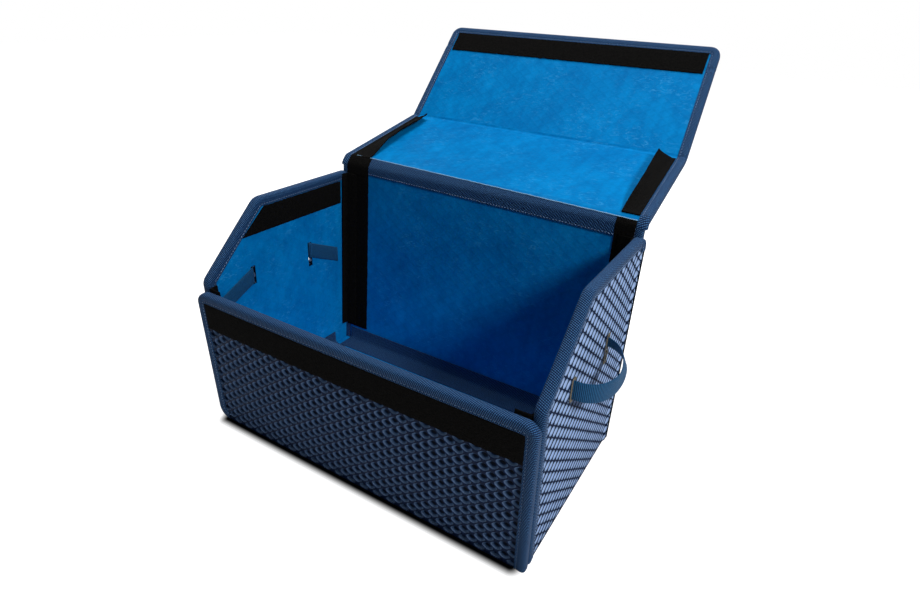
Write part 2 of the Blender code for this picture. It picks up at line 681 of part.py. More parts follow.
# Webbing handles, led through the slots and sewn down on the inside
for tag, where, hand in (("right", RIGHT, 1), ("left", LEFT, -1)):
    run = handle_path()
    sections = []
    for i, (y, out, drop) in enumerate(run):
        before = Vector(run[max(i - 1, 0)][:2])
        after = Vector(run[min(i + 1, len(run) - 1)][:2])
        along = (after - before).normalized()
        normal = Vector((-along.y, along.x)) * WEBBING_THICKNESS / 2
        middle = SLOT_HEIGHT - drop
        ring = []
        for across, height in ((1, 1), (1, -1), (-1, -1), (-1, 1)):
            ring.append((hand * (y + normal.x * across),
                         middle + height * WEBBING / 2,
                         out + normal.y * across))
        sections.append(ring)
    swept("handle_strap_" + tag, where, sections, BELT)
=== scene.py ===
from math import atan2, ceil, cos, pi, radians, sin, tan

import bmesh
import bpy
from mathutils import Matrix, Vector, noise


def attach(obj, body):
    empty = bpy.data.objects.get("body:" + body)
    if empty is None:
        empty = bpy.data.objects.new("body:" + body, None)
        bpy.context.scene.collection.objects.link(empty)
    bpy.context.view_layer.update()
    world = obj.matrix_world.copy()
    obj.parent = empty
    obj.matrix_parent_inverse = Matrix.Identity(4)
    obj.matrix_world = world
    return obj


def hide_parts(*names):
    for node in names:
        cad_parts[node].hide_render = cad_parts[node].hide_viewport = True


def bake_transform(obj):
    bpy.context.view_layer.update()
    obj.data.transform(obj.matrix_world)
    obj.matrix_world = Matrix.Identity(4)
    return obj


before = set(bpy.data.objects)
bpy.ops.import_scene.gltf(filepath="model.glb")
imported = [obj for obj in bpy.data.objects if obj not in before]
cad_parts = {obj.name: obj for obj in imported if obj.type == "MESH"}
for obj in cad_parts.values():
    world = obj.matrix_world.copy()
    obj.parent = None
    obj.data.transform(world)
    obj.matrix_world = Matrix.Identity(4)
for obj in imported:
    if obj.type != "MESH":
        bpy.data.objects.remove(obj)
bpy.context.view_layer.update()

# Floor panel. One sheet of closed-cell EVA foam, 10 mm thick, cut square and laid between
# the four walls. Its upper face is the smooth blue skin of the sheet, slightly scuffed.
SHEET = 0.010
HALF = SHEET / 2
FLOOR_X = 0.2373
FLOOR_Y = 0.1278


def paint(code):
    """Linear colour of an sRGB hex value."""
    parts = [int(code[i:i + 2], 16) / 255 for i in (1, 3, 5)]
    return (*[p / 12.92 if p <= 0.04045 else ((p + 0.055) / 1.055) ** 2.4 for p in parts], 1.0)


def feed(node, **inputs):
    """Fills inputs of a node: a number, a hex colour, a socket, or a node for its first output."""
    for key, value in inputs.items():
        socket = node.inputs[int(key[1:]) if key[1:].isdigit() else key.replace("_", " ")]
        if isinstance(value, bpy.types.Node):
            value = value.outputs[0]
        if isinstance(value, bpy.types.NodeSocket):
            node.id_data.links.new(value, socket)
        else:
            socket.default_value = paint(value) if isinstance(value, str) else value


def add(tree, kind, **given):
    """Node of a kind: what is given in small letters are settings, the rest and i0, i1, ... inputs."""
    made = tree.nodes.new("ShaderNode" + kind)
    inputs = {key: value for key, value in given.items() if key[0].isupper() or key[1:].isdigit()}
    for key, value in given.items():
        if key == "stops":
            ramp = made.color_ramp.elements
            for end in (0, -1):
                ramp[end].position, ramp[end].color = value[end][0], paint(value[end][1])
            for place, code in value[1:-1]:
                ramp.new(place).color = paint(code)
        elif key not in inputs:
            setattr(made, key, value)
    feed(made, **inputs)
    return made


def finish_of(name, roughness, ior, **extra):
    """New finish, its node tree and its shader; the nodes that follow give it its pattern."""
    made = bpy.data.materials.new(name)
    made.use_nodes = True
    shader = made.node_tree.nodes["Principled BSDF"]
    feed(shader, Roughness=roughness, IOR=ior, **extra)
    return made, made.node_tree, shader


# EVA foam, moulded with a smooth skin: even blue with a satin gloss. The rhombi pressed into the
# other face, 21 by 16 mm, print through faintly, and handling leaves pale scuffs.
blue_foam, tree, shader = finish_of("EVA foam, smooth blue skin", 0.50, 1.49, Specular_IOR_Level=0.02)
chart = add(tree, "UVMap")
cloud = add(tree, "TexNoise", Vector=chart, Scale=9.0, Detail=5.0, Roughness=0.62)
streak = add(tree, "Mapping", Vector=chart, Scale=(70.0, 38.0, 1.0))
mottle = add(tree, "TexNoise", Vector=streak, Scale=1.0, Detail=4.0, Roughness=0.6)
tone = add(tree, "ValToRGB", stops=[(0.30, "#0076bd"), (0.50, "#0084cc"), (0.70, "#0491db")], Fac=cloud)
dusty = add(tree, "ValToRGB", stops=[(0.34, "#c0cfdc"), (0.64, "#ffffff")], Fac=mottle)
mixed = add(tree, "Mix", data_type="RGBA", blend_type="MULTIPLY", i0=0.55, i6=tone, i7=dusty)
rise = add(tree, "VectorMath", operation="DOT_PRODUCT", i0=chart, i1=(46.9, 63.7, 0.0))
fall = add(tree, "VectorMath", operation="DOT_PRODUCT", i0=chart, i1=(-46.9, 63.7, 0.0))
near_a = add(tree, "Math", operation="PINGPONG", i0=rise.outputs["Value"], i1=0.5)
near_b = add(tree, "Math", operation="PINGPONG", i0=fall.outputs["Value"], i1=0.5)
near = add(tree, "Math", operation="MINIMUM", i0=near_a, i1=near_b)
print_through = add(tree, "MapRange", interpolation_type="SMOOTHSTEP", Value=near, i1=0.02, i2=0.24, i3=1.0, i4=0.0)
faint = add(tree, "Math", operation="MULTIPLY", i0=print_through, i1=0.09)
printed = add(tree, "Mix", data_type="RGBA", i0=faint, i6=mixed.outputs[2], i7="#00629f")
scratch_map = add(tree, "Mapping", Vector=chart, Scale=(80.0, 190.0, 1.0), Rotation=(0.0, 0.0, 0.10))
scratch = add(tree, "TexNoise", Vector=scratch_map, Scale=1.0, Detail=6.0, Roughness=0.72, Distortion=1.2)
rubbed = add(tree, "TexNoise", Vector=chart, Scale=14.0, Detail=3.0)
patches = add(tree, "MapRange", Value=rubbed, i1=0.40, i2=0.68, i3=0.0, i4=1.0)
marks = add(tree, "MapRange", Value=scratch, i1=0.53, i2=0.70, i3=0.0, i4=0.75)
scuff = add(tree, "Math", operation="MULTIPLY", i0=patches, i1=marks)
scuffed = add(tree, "Mix", data_type="RGBA", i0=scuff, i6=printed.outputs[2], i7="#43aae6")
grain = add(tree, "TexNoise", Vector=chart, Scale=900.0, Detail=3.0)
height = add(tree, "Math", operation="MULTIPLY_ADD", i0=print_through, i1=0.7, i2=grain)
relief = add(tree, "Bump", Strength=0.35, Distance=0.0004, Height=height)
dull = add(tree, "MapRange", Value=cloud, i1=0.3, i2=0.7, i3=0.44, i4=0.60)
feed(shader, Base_Color=scuffed.outputs[2], Roughness=dull, Normal=relief)


def place(name, data):
    """Puts a mesh, light or camera in the scene."""
    item = bpy.data.objects.new(name, data)
    bpy.context.scene.collection.objects.link(item)
    return item


def leave(name, bm, where, finishes, body, stands_for=(), crisp=40, bow=None):
    """Turns a mesh built flat in a panel's frame into a piece that rides on its body."""
    if bow:
        for v in bm.verts:
            v.co.z += bow(v.co.x, v.co.y)
    mesh = bpy.data.meshes.new(name)
    bm.to_mesh(mesh)
    bm.free()
    mesh.transform(where)
    for finish in finishes:
        mesh.materials.append(finish)
    mesh.shade_smooth()
    mesh.set_sharp_from_angle(angle=radians(crisp))
    piece = place(name, mesh)
    if body:
        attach(piece, body)
    if stands_for:
        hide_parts(*stands_for)
    return piece


def chart_flat(bm):
    """Surface chart in metres, straight from the panel's own flat frame."""
    layer = bm.loops.layers.uv.verify()
    for face in bm.faces:
        for loop in face.loops:
            loop[layer].uv = loop.vert.co.xy


def cut(bm, spot, normal, clear=False):
    """Cuts a flat mesh along a line and, where asked, drops what lies beyond it."""
    bmesh.ops.bisect_plane(bm, geom=bm.verts[:] + bm.edges[:] + bm.faces[:], dist=1e-7,
                           plane_co=(*spot, 0.0), plane_no=(*normal, 0.0), clear_outer=clear)


def trim(bm, outline):
    """Cuts a flat mesh down to a convex counter-clockwise outline."""
    for i, p in enumerate(outline):
        edge = Vector(p) - Vector(outline[i - 1])
        cut(bm, p, (edge.y, -edge.x), clear=True)


def extent(outline):
    """Lowest and highest corner of the box round an outline."""
    return [Vector([end(p[k] for p in outline) for k in (0, 1)]) for end in (min, max)]


def knit(bm, rows):
    """Fills a grid of vertices with faces, row by row."""
    for a, b in zip(rows, rows[1:]):
        for i in range(len(a) - 1):
            bm.faces.new((a[i], a[i + 1], b[i + 1], b[i]))


def smooth_face(outline, height, step=0.014):
    """Smooth skin of the sheet: an even grid cut to the outline."""
    bm = bmesh.new()
    low, high = extent(outline)
    count = [ceil((high[k] - low[k]) / step) for k in (0, 1)]
    xs, ys = [[low[k] + i * (high[k] - low[k]) / count[k] for i in range(count[k] + 1)] for k in (0, 1)]
    knit(bm, [[bm.verts.new((x, y, height)) for x in xs] for y in ys])
    trim(bm, outline)
    return bm


def close_rim(bm, level):
    """Draws the rim of a sheet straight on to a level across its thickness."""
    skirt = bmesh.ops.extrude_edge_only(bm, edges=[e for e in bm.edges if e.is_boundary])
    for v in [g for g in skirt["geom"] if isinstance(g, bmesh.types.BMVert)]:
        v.co.z = level


def join(bm, other, material):
    """Adds another built mesh to this one with its own finish."""
    for face in other.faces:
        face.material_index = material
    carrier = bpy.data.meshes.new("carrier")
    other.to_mesh(carrier)
    other.free()
    bm.from_mesh(carrier)
    bpy.data.meshes.remove(carrier)


floor_outline = [(-FLOOR_X, -FLOOR_Y), (FLOOR_X, -FLOOR_Y), (FLOOR_X, FLOOR_Y), (-FLOOR_X, FLOOR_Y)]
bm = smooth_face(floor_outline, SHEET)
under = smooth_face(floor_outline, 0.0)
bmesh.ops.reverse_faces(under, faces=under.faces)
close_rim(bm, 0.0)
join(bm, under, 0)
chart_flat(bm)
leave("floor_sheet", bm, Matrix.Identity(4), [blue_foam], "box", ["bottom_panel"])


# Front wall. EVA foam pressed between rolls into rows of rhombic pockets on the outer face, with
# the blue skin inside. The pockets measure 21 by 16 mm from ridge to ridge and are 4 mm deep.
WIDTH = 0.500
DEPTH = 0.281
TAPE = 0.0012
FRONT_HEIGHT = 0.208
CORNER = 0.015
FOOT = 0.0006
FOOT_CORNER_LEFT = 0.018
FRONT_TILT = atan2(0.009, FRONT_HEIGHT)
CORE = WIDTH / 2 - TAPE
WALL_OFFSET = DEPTH / 2 - TAPE - HALF
RHOMBUS = (0.0213, 0.0157)
POCKET = 0.0042
POCKET_CORNERS = 2.6
POCKET_EDGE = 0.965
POCKET_SLOPE = 0.9
RIM = 0.0015
ROW_START = 0.37
PLAIN_FOOT = 0.005
FINE = (0.0, 0.04, 0.09, 0.18, 0.33, 0.5, 0.67, 0.82, 0.91, 0.96)
COARSE = (0.0, 0.05, 0.2, 0.5, 0.8, 0.95)


def embossed_skin(name, stops, coat, level_of_gloss, roughness):
    """Embossed foam skin: colours painted along the depth of the pockets, standing for their shade and highlights,
    with a fine leathery grain.
    """
    made, tree, shader = finish_of(name, roughness, 1.49, Specular_IOR_Level=level_of_gloss, Coat_Roughness=0.22,
                                   Specular_Tint=(0.75, 0.88, 1.0, 1.0))
    ridge = add(tree, "Attribute", attribute_name="ridge")
    chart = add(tree, "UVMap")
    cloud = add(tree, "TexNoise", Vector=chart, Scale=42.0, Detail=4.0)
    level = add(tree, "Math", operation="MULTIPLY_ADD", i0=cloud, i1=0.16, i2=ridge.outputs["Fac"])
    tone = add(tree, "ValToRGB", stops=stops, Fac=level)
    gloss = add(tree, "MapRange", interpolation_type="SMOOTHSTEP", Value=level, i1=0.45, i2=1.0, i3=coat[0],
                i4=coat[1])
    grain = add(tree, "TexNoise", Vector=chart, Scale=750.0, Detail=4.0, Roughness=0.6)
    relief = add(tree, "Bump", Strength=0.4, Distance=0.0003, Height=grain)
    dull = add(tree, "MapRange", Value=grain, i1=0.3, i2=0.7, i3=roughness - 0.07, i4=roughness + 0.09)
    feed(shader, Base_Color=tone, Coat_Weight=gloss, Roughness=dull, Normal=relief)
    return made


# EVA foam, embossed under heat, navy. Its colour follows the depth of the pockets: near-black at their bottoms,
# painted shade; paler blue on their walls, painted highlight; navy on the ridges.
navy_foam = embossed_skin("EVA foam, embossed navy skin",
                          [(0.12, "#01050c"), (0.32, "#071a36"), (0.52, "#54749f"), (0.80, "#6a83a8"),
                           (0.98, "#1c3054"), (1.0, "#152340")],
                          (0.0, 0.02), 0.04, 0.34)


def stand(origin, across, up):
    """Frame of a panel: u runs across, v up and w out of the bag."""
    u = Vector(across).normalized()
    v = Vector(up).normalized()
    turn = Matrix((u, v, u.cross(v))).transposed().to_4x4()
    return Matrix.Translation(Vector(origin)) @ turn


def rounded(points, radii, closed=True, step=9):
    """Polyline through the points with an arc at every corner that has a radius."""
    out = []
    for i, point in enumerate(points):
        p = Vector(point)
        if radii[i] <= 0 or (not closed and i in (0, len(points) - 1)):
            out.append(p)
            continue
        a = (Vector(points[i - 1]) - p).normalized()
        b = (Vector(points[(i + 1) % len(points)]) - p).normalized()
        half = a.angle(b) / 2
        reach = radii[i] / tan(half)
        centre = p + (a + b).normalized() * radii[i] / sin(half)
        start = p + a * reach - centre
        turn = start.angle_signed(p + b * reach - centre)
        steps = max(2, ceil(abs(turn) / radians(step)))
        out.extend(centre + Matrix.Rotation(-turn * k / steps, 2) @ start for k in range(steps + 1))
    return out


def bowed(half_width, height, depth, free_top=False, foot=0.0):
    """Slight belly of a sheet between its stiff edges, from its foot to a height."""
    def bow(x, y):
        t = max(0.0, min(1.0, (y - foot) / (height - foot)))
        rise = sin(pi * t / 2) if free_top else sin(pi * t)
        return depth * rise * max(0.0, 1 - (x / half_width) ** 2)
    return bow


def embossed_face(outline, lines, offset):
    """Outer face of the sheet: rhombic pockets between ridges, cut to the outline."""
    bm = bmesh.new()
    width, height = RHOMBUS
    low, high = [end - Vector(offset) for end in extent(outline)]
    n = len(lines)
    verts = {}

    def corner(a, b):
        if (a, b) not in verts:
            i, k = divmod(a, n)
            j, m = divmod(b, n)
            s, t = i + lines[k], j + lines[m]
            r = sum(abs(2 * lines[q] - 1) ** POCKET_CORNERS for q in (k, m)) ** (1 / POCKET_CORNERS)
            fall = max(0.0, 1 - (r / POCKET_EDGE) ** 2) ** POCKET_SLOPE
            spot = Vector(((s - t) * width / 2, (s + t) * height / 2)) + Vector(offset)
            verts[(a, b)] = bm.verts.new((spot.x, spot.y, HALF - POCKET * fall))
        return verts[(a, b)]

    first = int((low.x / width + low.y / height) // 1) - 1
    last = ceil(high.x / width + high.y / height) + 1
    for i in range(first, last):
        for j in range(int((low.y / height - high.x / width) // 1) - 1, ceil(high.y / height - low.x / width) + 1):
            x, y = (i - j) * width / 2, (i + j + 1) * height / 2
            if not (low.x - width < x < high.x + width and low.y - height < y < high.y + height):
                continue
            for k in range(n):
                for m in range(n):
                    a, b = i * n + k, j * n + m
                    bm.faces.new((corner(a, b), corner(a + 1, b), corner(a + 1, b + 1), corner(a, b + 1)))
    trim(bm, outline)
    return bm


def foam_panel(name, where, outline, body, stands_for, holes=(), bow=None, lines=COARSE, skin=navy_foam,
               plain_edge=None):
    """Sheet panel: embossed outer face that runs out plain at its foot, cut edge, smooth inner face."""
    foot = min(p[1] for p in outline)
    bm = embossed_face(outline, lines, (0.0, foot + RIM - ROW_START * RHOMBUS[1]))
    inner = smooth_face(outline, -HALF)
    bmesh.ops.reverse_faces(inner, faces=inner.faces)
    for part in (bm, inner):
        for low, high in holes:
            for way in ((1, 0), (0, 1)):
                cut(part, low, way)
                cut(part, high, way)
            gone = [f for f in part.faces if low[0] < f.calc_center_median().x < high[0]
                    and low[1] < f.calc_center_median().y < high[1]]
            bmesh.ops.delete(part, geom=gone, context="FACES")
    close_rim(bm, -HALF)
    join(bm, inner, 1)
    layer = bm.verts.layers.float.new("ridge")
    for v in bm.verts:
        v[layer] = 1.0
        if v.co.z > 0:
            room = v.co.y - foot
            if plain_edge:
                room = min(room, max(0.0, plain_edge(v.co.x, v.co.y)))
            v.co.z = HALF - (HALF - v.co.z) * min(1.0, room / PLAIN_FOOT)
            v[layer] = 1 - (HALF - v.co.z) / POCKET
    chart_flat(bm)
    return leave(name, bm, where, [skin, blue_foam], body, stands_for, bow=bow)


FRONT = stand((0, -WALL_OFFSET, 0), (1, 0, 0), (0, -sin(FRONT_TILT), cos(FRONT_TILT)))
front_top = FRONT_HEIGHT / cos(FRONT_TILT) - TAPE
front_bow = bowed(CORE, front_top, 0.0012, free_top=True)
front_outline = rounded([(-CORE, FOOT), (CORE, FOOT), (CORE, front_top), (-CORE, front_top)],
                        [FOOT_CORNER_LEFT, 0, CORNER, CORNER])
foam_panel("front_wall", FRONT, front_outline, "box", ["front_panel"], bow=front_bow, lines=FINE)


# Back wall. The same sheet, standing up to the line where the lid bends off it.
BACK_TILT = atan2(0.018, 0.312)
HINGE_HEIGHT = 0.329
HINGE_REACH = 0.0080
HINGE_UP = HINGE_HEIGHT / cos(BACK_TILT)
HINGE_Y = WALL_OFFSET + HINGE_HEIGHT * tan(BACK_TILT)
BACK = stand((0, WALL_OFFSET, 0), (-1, 0, 0), (0, sin(BACK_TILT), cos(BACK_TILT)))
back_top = HINGE_UP - HINGE_REACH
back_bow = bowed(CORE, back_top, 0.0016)
EDGE_IN = (0.0062, 0.0032)
back_low, back_high = CORE - EDGE_IN[0], CORE - EDGE_IN[1]
back_outline = [(-back_low, FOOT), (back_low, FOOT), (back_high, back_top), (-back_high, back_top)]
foam_panel("back_wall", BACK, back_outline, "box", ["back_panel"], bow=back_bow)


# Side walls. Sheet cut level at the back and sloping down to the front wall, with two upright
# slots each for the handle. They stand between the front and the back wall.
WALL_HEIGHT = 0.312
TOP_LENGTH = 0.180
CHAMFER_CORNER = 0.020
SLOT_FRONT = -0.060
SLOT_BACK = 0.053
SLOT_HEIGHT = 0.202
SLOT_GAP = 0.005
SLOT_LONGER = 0.012
WEBBING = 0.025
SIDES = (("right", stand((CORE - HALF, 0, 0), (0, 1, 0), (0, 0, 1)), 1),
         ("left", stand((HALF - CORE, 0, 0), (0, -1, 0), (0, 0, 1)), -1))

wall_end = DEPTH / 2 - 3 * TAPE - SHEET - 0.0003
high = Vector((DEPTH / 2 - TOP_LENGTH, WALL_HEIGHT))
slope = (Vector((-DEPTH / 2 - 0.009, FRONT_HEIGHT)) - high).normalized()
inward = Vector((-slope.y, slope.x)) * TAPE
high += inward if inward.y < 0 else -inward
chamfer_top = high + slope * (high.y - (WALL_HEIGHT - TAPE)) / -slope.y
fall = slope.y / slope.x
z = (high.y + fall * (-wall_end - high.x)) / (1 + fall * tan(FRONT_TILT))
side_corners = [(-wall_end - tan(FRONT_TILT) * FOOT, FOOT), (wall_end + tan(BACK_TILT) * FOOT, FOOT),
                (wall_end + tan(BACK_TILT) * (WALL_HEIGHT - TAPE), WALL_HEIGHT - TAPE), tuple(chamfer_top),
                (-wall_end - tan(FRONT_TILT) * z, z)]
side_radii = [0, 0, CORNER, CHAMFER_CORNER, CORNER]
side_belly = bowed(0.130, WALL_HEIGHT, 0.0012)
BACK_LAP = 0.0115
LAP_OUT = 0.0018


def ease(t):
    """Smooth step from 0 to 1."""
    t = max(0.0, min(1.0, t))
    return t * t * (3 - 2 * t)


def side_bow(hand):
    """Belly of a side wall, and the lap of its back edge over the edge of the back wall."""
    return lambda u, v: (side_belly(u, v) + LAP_OUT *
                         ease((hand * u - tan(BACK_TILT) * v - wall_end + 0.004) / 0.008))


lapped = [(y + (BACK_LAP if k in (1, 2) else 0.0), z) for k, (y, z) in enumerate(side_corners)]

# The same EVA foam as on the front, in a lit copy for the side walls: pockets painted pale, painted highlight, and
# ridges painted near-black, painted shade.
side_lit_foam = embossed_skin("EVA foam, embossed skin with pearly pockets",
                            [(0.10, "#7f9fcd"), (0.40, "#a9c2e8"), (0.78, "#9db7df"), (0.98, "#0a1a36")],
                            (0.0, 0.0), 0.02, 0.55)


def back_edge(z):
    """Where the back edge of a side sheet runs, at a height."""
    return lapped[1][0] + tan(BACK_TILT) * (z - FOOT)


# The side walls wear the lit copy of the foam: pockets painted pale as highlight, ridges painted dark as shade.
for tag, where, hand in SIDES:
    outline = [Vector((hand * p.x, p.y)) for p in rounded(lapped, side_radii)][::hand]
    gap = (SLOT_GAP / 2 + 0.0015, WEBBING / 2 + 0.0015)
    slots = [((hand * y - gap[0], SLOT_HEIGHT - gap[1] - longer), (hand * y + gap[0], SLOT_HEIGHT + gap[1]))
             for y, longer in ((SLOT_FRONT, 0.0), (SLOT_BACK, SLOT_LONGER))]
    foam_panel(tag + "_side_wall", where, outline, "box", [tag + "_side_panel"], holes=slots, bow=side_bow(hand),
               lines=FINE, skin=side_lit_foam, plain_edge=lambda u, v, hand=hand: back_edge(v) - hand * u)


# Edge binding of the walls. Ribbed polypropylene tape, folded over the cut edge of the sheet and
# sewn through with one row of stitches on each face.
LEG = 0.012
STITCH_IN = 0.0092
TAPE_END = 0.0175


def colour_and_relief(shader, level, stops, height, strength, distance):
    """Colours a finish by a level along a ramp, and raises it by a height in metres."""
    tree = shader.id_data
    tone = add(tree, "ValToRGB", stops=stops, Fac=level)
    relief = add(tree, "Bump", Strength=strength, Distance=distance, Height=height)
    feed(shader, Base_Color=tone, Normal=relief)
    return tone


# Polypropylene tape, woven with ribs across it: dull navy, the rib crests painted lighter, painted highlight, and the
# grooves darker, painted shade. The real ribs are 1.2 mm apart and are drawn at 2.1 mm so that they show.
ribbed_tape, tree, shader = finish_of("polypropylene binding tape, ribbed navy", 0.62, 1.49,
                                      Specular_IOR_Level=0.10, Sheen_Weight=0.02, Sheen_Roughness=0.5)
chart = add(tree, "UVMap")
lay = add(tree, "Mapping", Vector=chart, Scale=(1.0, 1.0, 1.0), Rotation=(0.0, 0.0, 0.35))
warp = add(tree, "TexWave", bands_direction="Y", Vector=lay, Scale=pi / 10 / 0.0021, Distortion=1.2, Detail=2.0)
weft = add(tree, "TexWave", bands_direction="X", Vector=lay, Scale=pi / 10 / 0.0022, Distortion=1.0, Detail=1.0)
dots = add(tree, "Math", operation="MULTIPLY", i0=weft.outputs["Fac"], i1=warp.outputs["Fac"])
ribs = add(tree, "Mix", data_type="FLOAT", i0=0.55, i2=warp.outputs["Fac"], i3=dots)
fuzz = add(tree, "TexNoise", Vector=chart, Scale=420.0, Detail=4.0)
blotch = add(tree, "TexNoise", Vector=chart, Scale=28.0, Detail=3.0)
level = add(tree, "Math", operation="MULTIPLY_ADD", i0=fuzz, i1=0.4, i2=ribs)
tone = colour_and_relief(shader, level, [(0.22, "#030b1c"), (0.58, "#10305a"), (0.95, "#4678ac")], level, 0.8, 0.0006)
worn = add(tree, "MapRange", Value=blotch, i1=0.35, i2=0.75, i3=0.0, i4=0.25)
mixed = add(tree, "Mix", data_type="RGBA", i0=worn, i6=tone, i7="#173b69")
feed(shader, Base_Color=mixed.outputs[2])

# Polyester sewing thread, twisted and bonded: pale blue-grey with a slight gloss, painted darker in the grooves of
# its twist, painted shade.
thread, tree, shader = finish_of("polyester sewing thread, pale blue", 0.42, 1.55, Sheen_Weight=0.2)
chart = add(tree, "TexCoord")
twist = add(tree, "TexWave", Vector=chart.outputs["Object"], Scale=300.0, Distortion=1.0)
twist = twist.outputs["Fac"]
colour_and_relief(shader, twist, [(0.2, "#35527a"), (0.8, "#7f9dc4")], twist, 0.3, 0.0002)

# Half of the folded tape in section: (distance in from the sheet edge, height above its face)
fold_section = [(LEG, 0.0), (LEG - 0.0001, 0.0008), (LEG - 0.0012, 0.0011), (STITCH_IN + 0.0006, 0.0009),
                (STITCH_IN, 0.0005), (STITCH_IN - 0.0006, 0.0009), (0.0065, 0.0014), (0.0035, 0.0016),
                (0.0012, 0.0013), (-0.0002, 0.0005), (-0.0010, -0.0008), (-0.0014, -0.0026), (-0.0015, -HALF)]


def lengthen(path, step):
    """Same polyline with no piece longer than the step."""
    out = [Vector(path[0])]
    for p, q in zip(path, path[1:]):
        count = max(1, ceil((Vector(q) - Vector(p)).length / step))
        out.extend(Vector(p).lerp(Vector(q), k / count) for k in range(1, count + 1))
    return out


def sew(bm, rows, length=0.0034, pitch=0.0046, thick=0.0005):
    """Row of stitches: spindle-shaped loops of thread laid along a line of (point, face normal)."""
    walked = 0.0
    start = None
    for (p, n), (q, _) in zip(rows, rows[1:]):
        span = (q - p).length
        if span < 1e-7:
            continue
        along = (q - p) / span
        side = along.cross(n) * thick
        while walked < span:
            a = p + along * walked
            b = a + along * length
            mid = (a + b) / 2
            ring = [bm.verts.new(mid + side), bm.verts.new(mid + n * thick * 1.3), bm.verts.new(mid - side),
                    bm.verts.new(mid - n * thick)]
            tips = [bm.verts.new(a - n * thick * 0.4), bm.verts.new(b - n * thick * 0.4)]
            for k in range(4):
                for tip in tips:
                    face = bm.faces.new((tip, ring[k], ring[(k + 1) % 4]))
                    face.material_index = 1
            walked += pitch
        walked -= span


def strip_faces(bm, rings, across, walked, order):
    """Faces through a row of rings, charted by their places across and along it, with both ends closed."""
    layer = bm.loops.layers.uv.verify()
    for i, (r0, r1) in enumerate(zip(rings, rings[1:])):
        for k in range(len(across) - 1):
            n = (k + 1) % len(r0)
            corners = [(r0[k], k, i), (r0[n], k + 1, i), (r1[n], k + 1, i + 1), (r1[k], k, i + 1)]
            corners = [corners[turn] for turn in order]
            face = bm.faces.new([vert for vert, _, _ in corners])
            for loop, (_, a, b) in zip(face.loops, corners):
                loop[layer].uv = (across[a], walked[b])
    for ring in (rings[0], rings[-1]):
        bm.faces.new(ring)


def bind(name, where, path, body, stands_for, bow=None):
    """Tape folded over a sheet edge, with its stitches; the sheet lies to the left of the path."""
    bm = bmesh.new()
    path = lengthen(path, 0.016)
    section = [(d, HALF + w) for d, w in fold_section]
    section += [(d, -w) for d, w in reversed(section[:-1])]
    across = [0.0]
    for a, b in zip(section, section[1:]):
        across.append(across[-1] + (Vector(b) - Vector(a)).length)
    rings, walked, rows = [], [0.0], [[], []]
    for i, p in enumerate(path):
        ahead = (path[i + 1] - p).normalized() if i + 1 < len(path) else None
        behind = (p - path[i - 1]).normalized() if i > 0 else None
        if i:
            walked.append(walked[-1] + (p - path[i - 1]).length)
        a, b = behind or ahead, ahead or behind
        na, nb = Vector((-a.y, a.x)), Vector((-b.y, b.x))
        mitre = (na + nb) / (1 + na.dot(nb))
        rings.append([bm.verts.new((p.x + mitre.x * d, p.y + mitre.y * d, w)) for d, w in section])
        spot = p + mitre * STITCH_IN
        for side, row in zip((1, -1), rows):
            row.append((Vector((spot.x, spot.y, side * (HALF + 0.0008))), Vector((0, 0, side))))
    strip_faces(bm, rings, across, walked, (0, 3, 2, 1))
    for row in rows:
        sew(bm, row)
    bmesh.ops.recalc_face_normals(bm, faces=bm.faces)
    return leave(name, bm, where, [ribbed_tape, thread], body, stands_for, bow=bow, crisp=55)


def band(name, sections, finishes, body, stands_for=(), crisp=50, stitches=()):
    """Closed strip through a row of equal rings of points, charted along and across in metres."""
    bm = bmesh.new()
    rings = [[bm.verts.new(p) for p in ring] for ring in sections]
    size = len(rings[0])
    walked = [0.0]
    for a, b in zip(sections, sections[1:]):
        middle = sum((Vector(q) - Vector(p) for p, q in zip(a, b)), Vector()) / size
        walked.append(walked[-1] + middle.length)
    across = [0.0]
    for k in range(size):
        across.append(across[-1] + (Vector(sections[0][(k + 1) % size]) - Vector(sections[0][k])).length)
    strip_faces(bm, rings, across, walked, (0, 1, 2, 3))
    bmesh.ops.recalc_face_normals(bm, faces=bm.faces)
    for row in stitches:
        sew(bm, row)
    return leave(name, bm, Matrix.Identity(4), finishes, body, stands_for, crisp=crisp)


front_path = rounded([(CORE, FOOT), (CORE, front_top), (-CORE, front_top), (-CORE, FOOT), (0, FOOT)],
                     [0, CORNER, CORNER, FOOT_CORNER_LEFT, 0], closed=False)[:-1]
bind("front_edge_tape", FRONT, front_path, "box", ["front_binding"], bow=front_bow)
for tag, side in (("left", 1), ("right", -1)):
    ends = [(side * back_low, FOOT), (side * back_high, back_top)][::side]
    bind("back_edge_tape_" + tag, BACK, ends, "box", ["back_binding_" + tag], bow=back_bow)
for tag, where, hand in SIDES:
    tape_end = (lapped[2][0] - TAPE_END * tan(BACK_TILT), lapped[2][1] - TAPE_END)
    loop = rounded([lapped[0], lapped[4], lapped[3], lapped[2], tape_end], [0, CORNER, CHAMFER_CORNER, CORNER, 0],
                   closed=False)
    path = [Vector((hand * p.x, p.y)) for p in loop][::-hand]
    bind(tag + "_side_edge_tape", where, path, "box", [tag + "_side_binding"], bow=side_bow(hand))


# A plain strip of the navy skin closes the back edge of each side sheet, up to its round corner.
SEAM_SECTION = [(-0.0014, -0.001), (-0.0012, 0.0005), (0.0010, 0.0005), (0.0014, -0.001), (0.0014, -0.0030),
                (-0.0010, -0.0030)]
seam = [FOOT + (WALL_HEIGHT - CORNER - FOOT) * k / 20 for k in range(21)]
seam = [(back_edge(z) - 0.0009, z) for z in seam]
for tag, where, hand in SIDES:
    sections = [[where @ Vector((hand * (y + a), z, HALF + b + side_bow(hand)(hand * y, z)))
                 for a, b in SEAM_SECTION] for y, z in seam]
    band(tag + "_side_seam_tape", sections, [navy_foam], "box")


